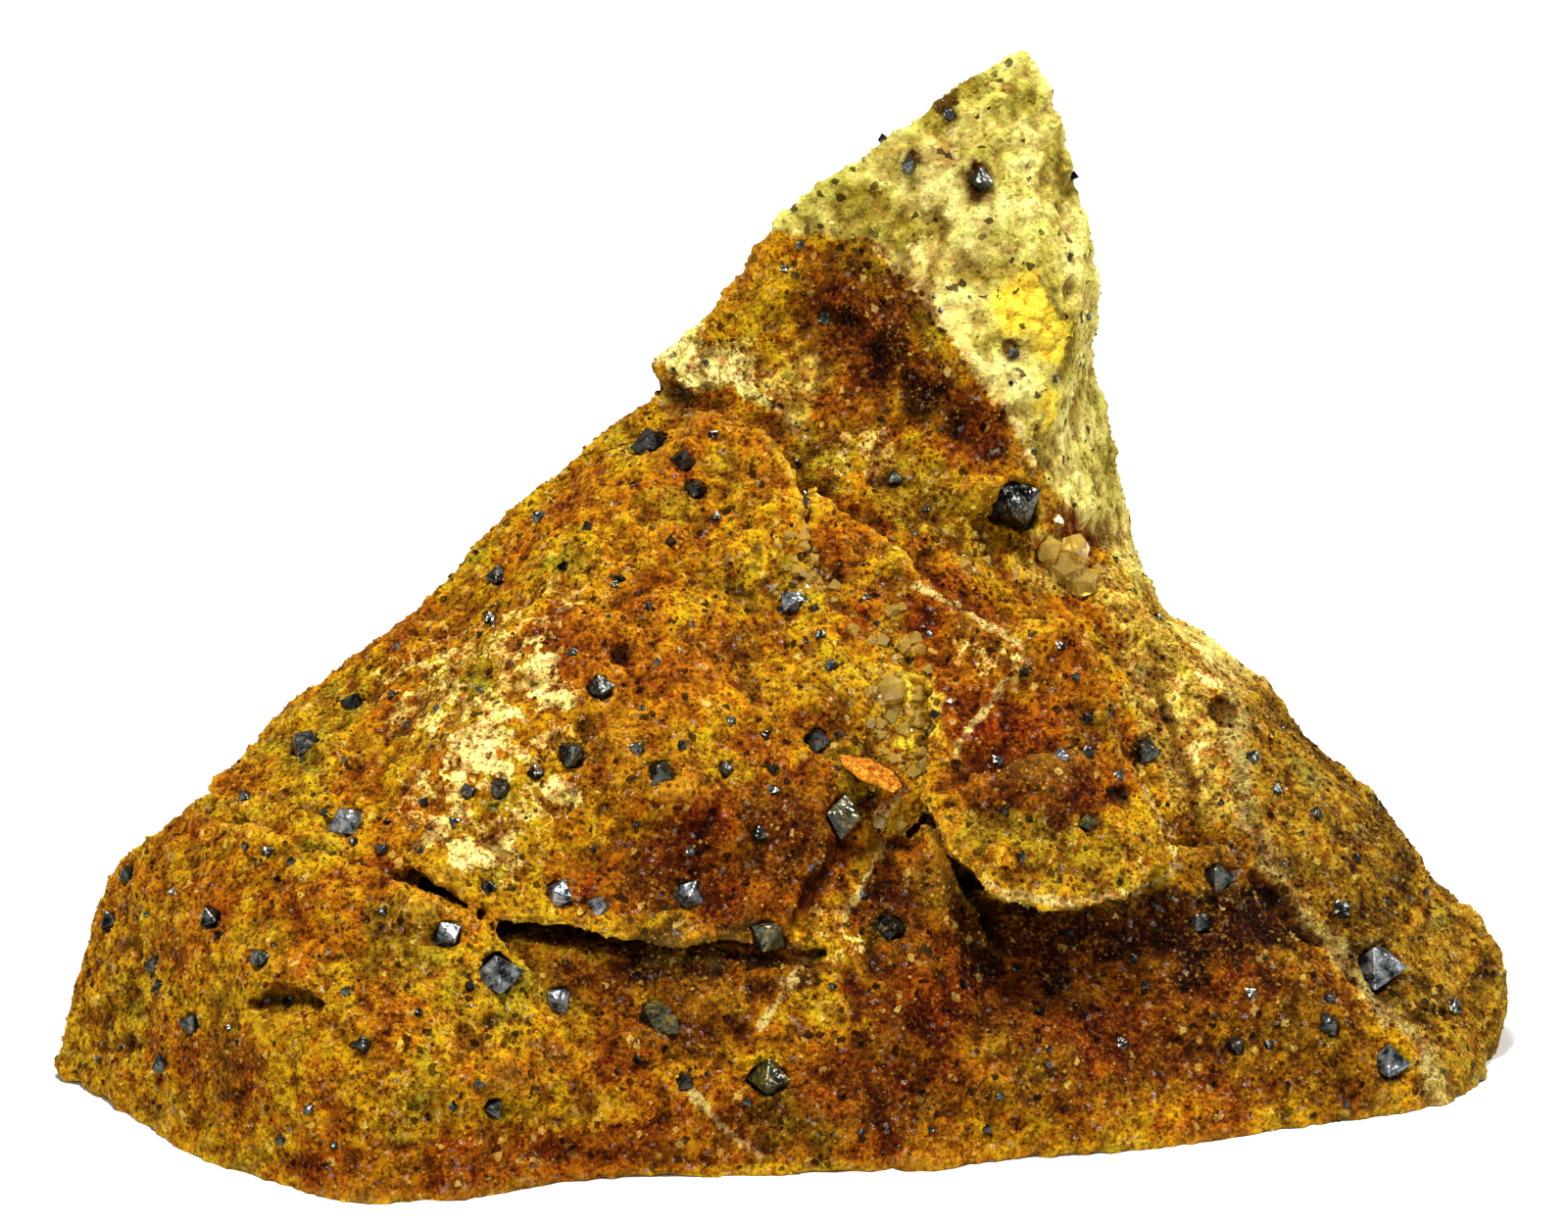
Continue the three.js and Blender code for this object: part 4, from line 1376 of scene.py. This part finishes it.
# Small magnetite crystals that the photograph shows one by one: across, rise, width, in mm.
SMALL_CRYSTALS: list[tuple[float, float, float]] = [
    (-9.6, 18.9, 0.45), (-7.2, 20.6, 0.45), (-5.4, 20.2, 0.5), (-4.4, 19.3, 0.4),
    (-6.9, 17.8, 0.45), (-9.9, 16.6, 0.35), (-11.3, 16.0, 0.35), (-12.8, 16.4, 0.4),
    (-14.3, 14.3, 0.3), (-3.3, 14.8, 0.4), (-4.1, 17.5, 0.3), (-3.0, 18.7, 0.3),
    (-4.6, 16.0, 0.3), (-0.6, 15.1, 0.4), (-0.4, 14.0, 0.45), (-0.4, 13.4, 0.35),
    (-1.7, 15.6, 0.4), (-2.3, 24.9, 0.35), (-2.2, 22.2, 0.35), (-3.7, 21.4, 0.5),
    (2.7, 19.6, 0.35), (1.2, 18.4, 0.35), (-8.0, 22.2, 0.6), (-6.4, 21.9, 0.45),
    (-12.9, 12.3, 0.3), (-11.8, 11.4, 0.3), (-15.0, 12.6, 0.3), (-16.0, 11.0, 0.4),
    (-17.5, 11.5, 0.35), (-4.8, 12.2, 0.3), (-6.2, 11.4, 0.3), (-18.4, 8.6, 0.4),
    (-20.4, 6.8, 0.45), (-14.2, 6.8, 0.45), (-13.0, 9.4, 0.45), (-15.4, 3.0, 0.45),
    (-16.3, 2.0, 0.5), (-10.2, 7.0, 0.45), (-7.1, 7.7, 0.35), (-4.8, 4.6, 0.35),
    (-1.2, 3.2, 0.4), (-10.7, 3.1, 0.4), (-9.9, 3.8, 0.45), (4.7, 18.4, 0.35),
    (4.7, 17.2, 0.4), (4.9, 15.8, 0.4), (9.5, 17.0, 0.35), (9.0, 18.0, 0.4),
    (9.9, 15.7, 0.45), (9.9, 14.5, 0.5), (10.9, 13.8, 0.5), (7.0, 14.3, 0.4),
    (7.2, 12.6, 0.4), (7.7, 11.2, 0.45), (7.6, 7.5, 0.4), (1.6, 7.0, 0.3),
    (2.6, 9.9, 0.35), (8.3, 6.1, 0.45), (11.4, 7.8, 0.4), (15.2, 6.7, 0.4),
    (17.8, 6.5, 0.5), (15.8, 5.0, 0.4), (11.0, 5.1, 0.45), (2.5, 2.2, 0.35),
    (4.8, 2.3, 0.3), (6.6, 2.3, 0.4), (15.3, 14.4, 0.6), (16.1, 13.3, 0.5),
    (17.4, 12.5, 0.6), (21.9, 6.2, 0.6), (5.4, 35.4, 0.5), (4.1, 33.7, 0.6),
    (6.4, 33.2, 0.9), (7.5, 27.6, 0.5), (18.7, 11.1, 0.4), (18.2, 9.4, 0.8),
]
# Crystals that the photograph shows with a face that mirrors the light, as above.
GLINTING_CRYSTALS: list[tuple[float, float, float]] = [
    (-9.6, 18.9, 0.5), (-2.3, 24.9, 0.4), (-2.2, 22.2, 0.4), (-5.5, 20.0, 0.35),
    (1.2, 18.4, 0.45), (-0.3, 13.3, 0.4), (5.4, 16.2, 0.3), (10.6, 16.1, 0.3),
    (9.9, 14.6, 0.5), (6.9, 14.3, 0.4), (15.2, 6.7, 0.45), (11.0, 5.1, 0.5),
    (-19.9, 10.0, 0.35), (19.5, 7.6, 1.5), (-16.8, 11.3, 0.5), (0.0, 30.3, 0.35),
    (0.5, 19.5, 0.7), (21.9, 6.2, 0.7), (18.2, 9.4, 0.7), (-3.0, 10.0, 0.5),
]


@dataclass
class SmallCrystals:
    """The small magnetite crystals that the photograph shows one by one."""

    corner_cut: float = 0.06
    sunk: float = 0.15  # of the radius, below the surface
    radius_share: float = 0.58  # of the width that the photograph shows
    seed: int = 17

    def build(self, rock: HostRock, material: bpy.types.Material) -> None:
        """Places every crystal on the rock and joins them.

        Args:
            rock: the finished host rock.
            material: the magnetite material.
        """
        random = np.random.default_rng(self.seed)
        shape = octahedron("small_crystal_shape", self.corner_cut)
        work = bmesh.new()
        glint = (Studio.key_place.normalized() - LOOK).normalized()
        facing = Vector((1.0, 1.0, 1.0)).rotation_difference(glint).to_matrix()
        rows = [(*row, False) for row in SMALL_CRYSTALS] + [(*row, True) for row in GLINTING_CRYSTALS]
        for across, rise, width, mirrors in rows:
            turn = Euler(random.uniform(0.0, math.tau, 3)).to_matrix()
            if mirrors:
                spin = Matrix.Rotation(random.uniform(0.0, math.tau), 3, glint)
                turn = spin @ facing
            hit = rock.surface(across, rise)
            if hit is None:
                continue
            radius = width * self.radius_share * MM
            place = hit[0] - hit[1] * radius * self.sunk
            before = len(work.verts)
            work.from_mesh(shape.data)
            work.verts.ensure_lookup_table()
            move = Matrix.Translation(place) @ turn.to_4x4() @ Matrix.Scale(radius, 4)
            bmesh.ops.transform(work, matrix=move, verts=work.verts[before:])
        discard(shape)
        mesh = finished_mesh(work, "small_magnetite_crystals")
        mesh.materials.append(material)
        finish_piece("small_magnetite_crystals", mesh)


@dataclass
class QuartzPatches:
    """The honey-coloured quartz grains beside the slab."""

    bevel_mm: float = 0.05

    def dress(self, material: bpy.types.Material) -> None:
        """Wears the edges of the CAD patches a little and gives them their finish.

        Args:
            material: the quartz material.
        """
        for name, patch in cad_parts.items():
            if name.startswith("quartz_patch"):
                patch.data.materials.clear()
                patch.data.materials.append(material)
                worn_edges(patch, self.bevel_mm)
                log.info("%s: dressed", name)


@dataclass
class OrangeFlake:
    """The thin granular flake that stands out between the quartz and the rib."""

    across_mm: float = 2.9
    rise_mm: float = 13.9
    size_mm: tuple[float, float, float] = (1.15, 0.5, 0.14)
    stands_out_mm: tuple[float, float, float] = (0.0, -0.35, 0.1)
    slope_deg: float = 27.0  # down to the right
    lean_deg: float = 20.0  # towards the viewer
    outline_wave: float = 0.25  # of its width
    outline_waves: float = 1.7  # over half of its width
    face_wave: float = 1.2  # of its thickness
    face_waves: float = 3.0  # over half of its width
    # How much finer waves fade, how much finer each is than the last, and how many.
    finer_waves: tuple[float, float, int] = (0.7, 2.0, 5)
    seed: int = 5

    def build(self, rock: HostRock, material: bpy.types.Material) -> None:
        """Makes the flake as an uneven plate and sets it in the rock.

        Args:
            rock: the finished host rock.
            material: its finish.
        """
        hit = rock.surface(self.across_mm, self.rise_mm)
        work = bmesh.new()
        bmesh.ops.create_icosphere(work, subdivisions=5, radius=1.0)
        for vertex in work.verts:
            start = vertex.co * self.face_waves + Vector((self.seed, 0, 0))
            rough = noise.fractal(start, *self.finer_waves)
            outline = noise.noise(Vector((vertex.co.x, vertex.co.y, 0.0)) * self.outline_waves)
            plate = vertex.co * (1.0 + self.outline_wave * outline)
            plate.z *= 1.0 + self.face_wave * rough
            vertex.co = Vector(a * b for a, b in zip(plate, self.size_mm)) * MM
        across = Matrix.Rotation(math.radians(self.slope_deg), 4, "Y")
        level = across @ Matrix.Rotation(math.radians(self.lean_deg), 4, "X")
        move = Matrix.Translation(hit[0] + Vector(self.stands_out_mm) * MM) @ level
        bmesh.ops.transform(work, matrix=move, verts=work.verts)
        mesh = finished_mesh(work, "orange_flake")
        mesh.materials.append(material)
        finish_piece("orange_flake", mesh)


@dataclass
class Studio:
    """A pale floor, soft light and the camera of the photograph."""

    key_place: ClassVar[Vector] = Vector((-0.03, -0.08, 0.3))
    # Name, place, size in metres and power in watts of each square lamp.
    lamps: ClassVar[tuple[tuple[str, Vector, float, float], ...]] = (
        ("key", key_place, 0.07, 1.65),
        ("back", Vector((0.2, 0.06, 0.22)), 0.1, 0.9),
        ("front", Vector((-0.14, -0.3, 0.16)), 0.16, 0.4),
    )
    lit_height_m: float = 0.014
    surround: str = "#E6E8EC"
    surround_strength: float = 0.22
    distance_m: float = 1.2
    frame_width_mm: float = 51.2
    aim_rise_mm: float = 19.09
    sensor_mm: float = 36.0
    floor_m: float = 0.8

    def build(self) -> None:
        """Makes the floor, the lights, the world and the camera."""
        bpy.context.scene.view_settings.view_transform = "Standard"
        self._floor()
        self._lights()
        self._camera()

    def _floor(self) -> None:
        """Makes a large flat floor."""
        mesh = bpy.data.meshes.new("floor")
        half = self.floor_m / 2
        corners = [(-half, -half, 0), (half, -half, 0), (half, half, 0), (-half, half, 0)]
        mesh.from_pydata(corners, [], [(0, 1, 2, 3)])
        mesh.materials.append(FloorFinish().material())
        new_object("floor", mesh)

    def _lights(self) -> None:
        """Makes the lamps, which face the rock, and a pale surround."""
        world = bpy.data.worlds.new("pale_surround")
        bpy.context.scene.world = world
        world.use_nodes = True
        background = world.node_tree.nodes["Background"].inputs
        background["Color"].default_value = linear(self.surround)
        background["Strength"].default_value = self.surround_strength
        target = Vector((0.0, 0.0, self.lit_height_m))
        for name, place, size_m, watts in self.lamps:
            light = bpy.data.lights.new(name, "AREA")
            light.size = size_m
            light.energy = watts
            obj = bpy.data.objects.new(name, light)
            obj.location = place
            obj.rotation_euler = (target - place).to_track_quat("-Z", "Y").to_euler()
            bpy.context.scene.collection.objects.link(obj)

    def _camera(self) -> None:
        """Makes a long lens that looks down at the front by the view's tilt."""
        camera = bpy.data.cameras.new("camera")
        camera.sensor_width = self.sensor_mm
        camera.lens = camera.sensor_width * self.distance_m / (self.frame_width_mm * MM)
        camera.clip_start = 0.01
        camera.clip_end = 10.0
        obj = bpy.data.objects.new("camera", camera)
        target = seen(0.0, self.aim_rise_mm, -VIEW_MIDDLE.y)
        obj.location = target - LOOK * self.distance_m
        obj.rotation_euler = LOOK.to_track_quat("-Z", "Y").to_euler()
        bpy.context.scene.collection.objects.link(obj)
        bpy.context.scene.camera = obj


def main() -> None:
    """Builds the specimen in order and reports each piece."""
    logging.basicConfig(level=logging.INFO)
    Studio().build()
    rock = HostRock()
    rock.build(HostRockFinish())
    magnetite = MagnetiteFinish().material()
    MagnetiteCrystals().dress(magnetite)
    SmallCrystals().build(rock, magnetite)
    tiny = SurfaceScatter(
        name="tiny_magnetite_crystals",
        slot="magnetite",
        per_mm2=0.13,
        smallest_mm=0.06,
        largest_mm=0.24,
        corner_cut=0.06,
        seed=3,
    )
    tiny.build(rock, magnetite)
    for number, seed in ((1, 8), (2, 21)):
        grains = SurfaceScatter(
            name=f"sand_grains_{number}",
            slot="host_rock",
            per_mm2=7.5,
            smallest_mm=0.04,
            largest_mm=0.11,
            corner_cut=0.0,
            seed=seed,
        )
        grains.build(rock, rock.piece.data.materials[0])
    quartz = QuartzFinish().material()
    QuartzPatches().dress(quartz)
    loose = SurfaceScatter(
        name="loose_quartz_grains",
        slot="quartz",
        per_mm2=9.0,
        smallest_mm=0.1,
        largest_mm=0.36,
        corner_cut=0.2,
        seed=4,
        where=Zone.HONEY.value,
    )
    loose.build(rock, quartz)
    OrangeFlake().build(rock, FlakeFinish().material())


if __name__ == "__main__":
    main()
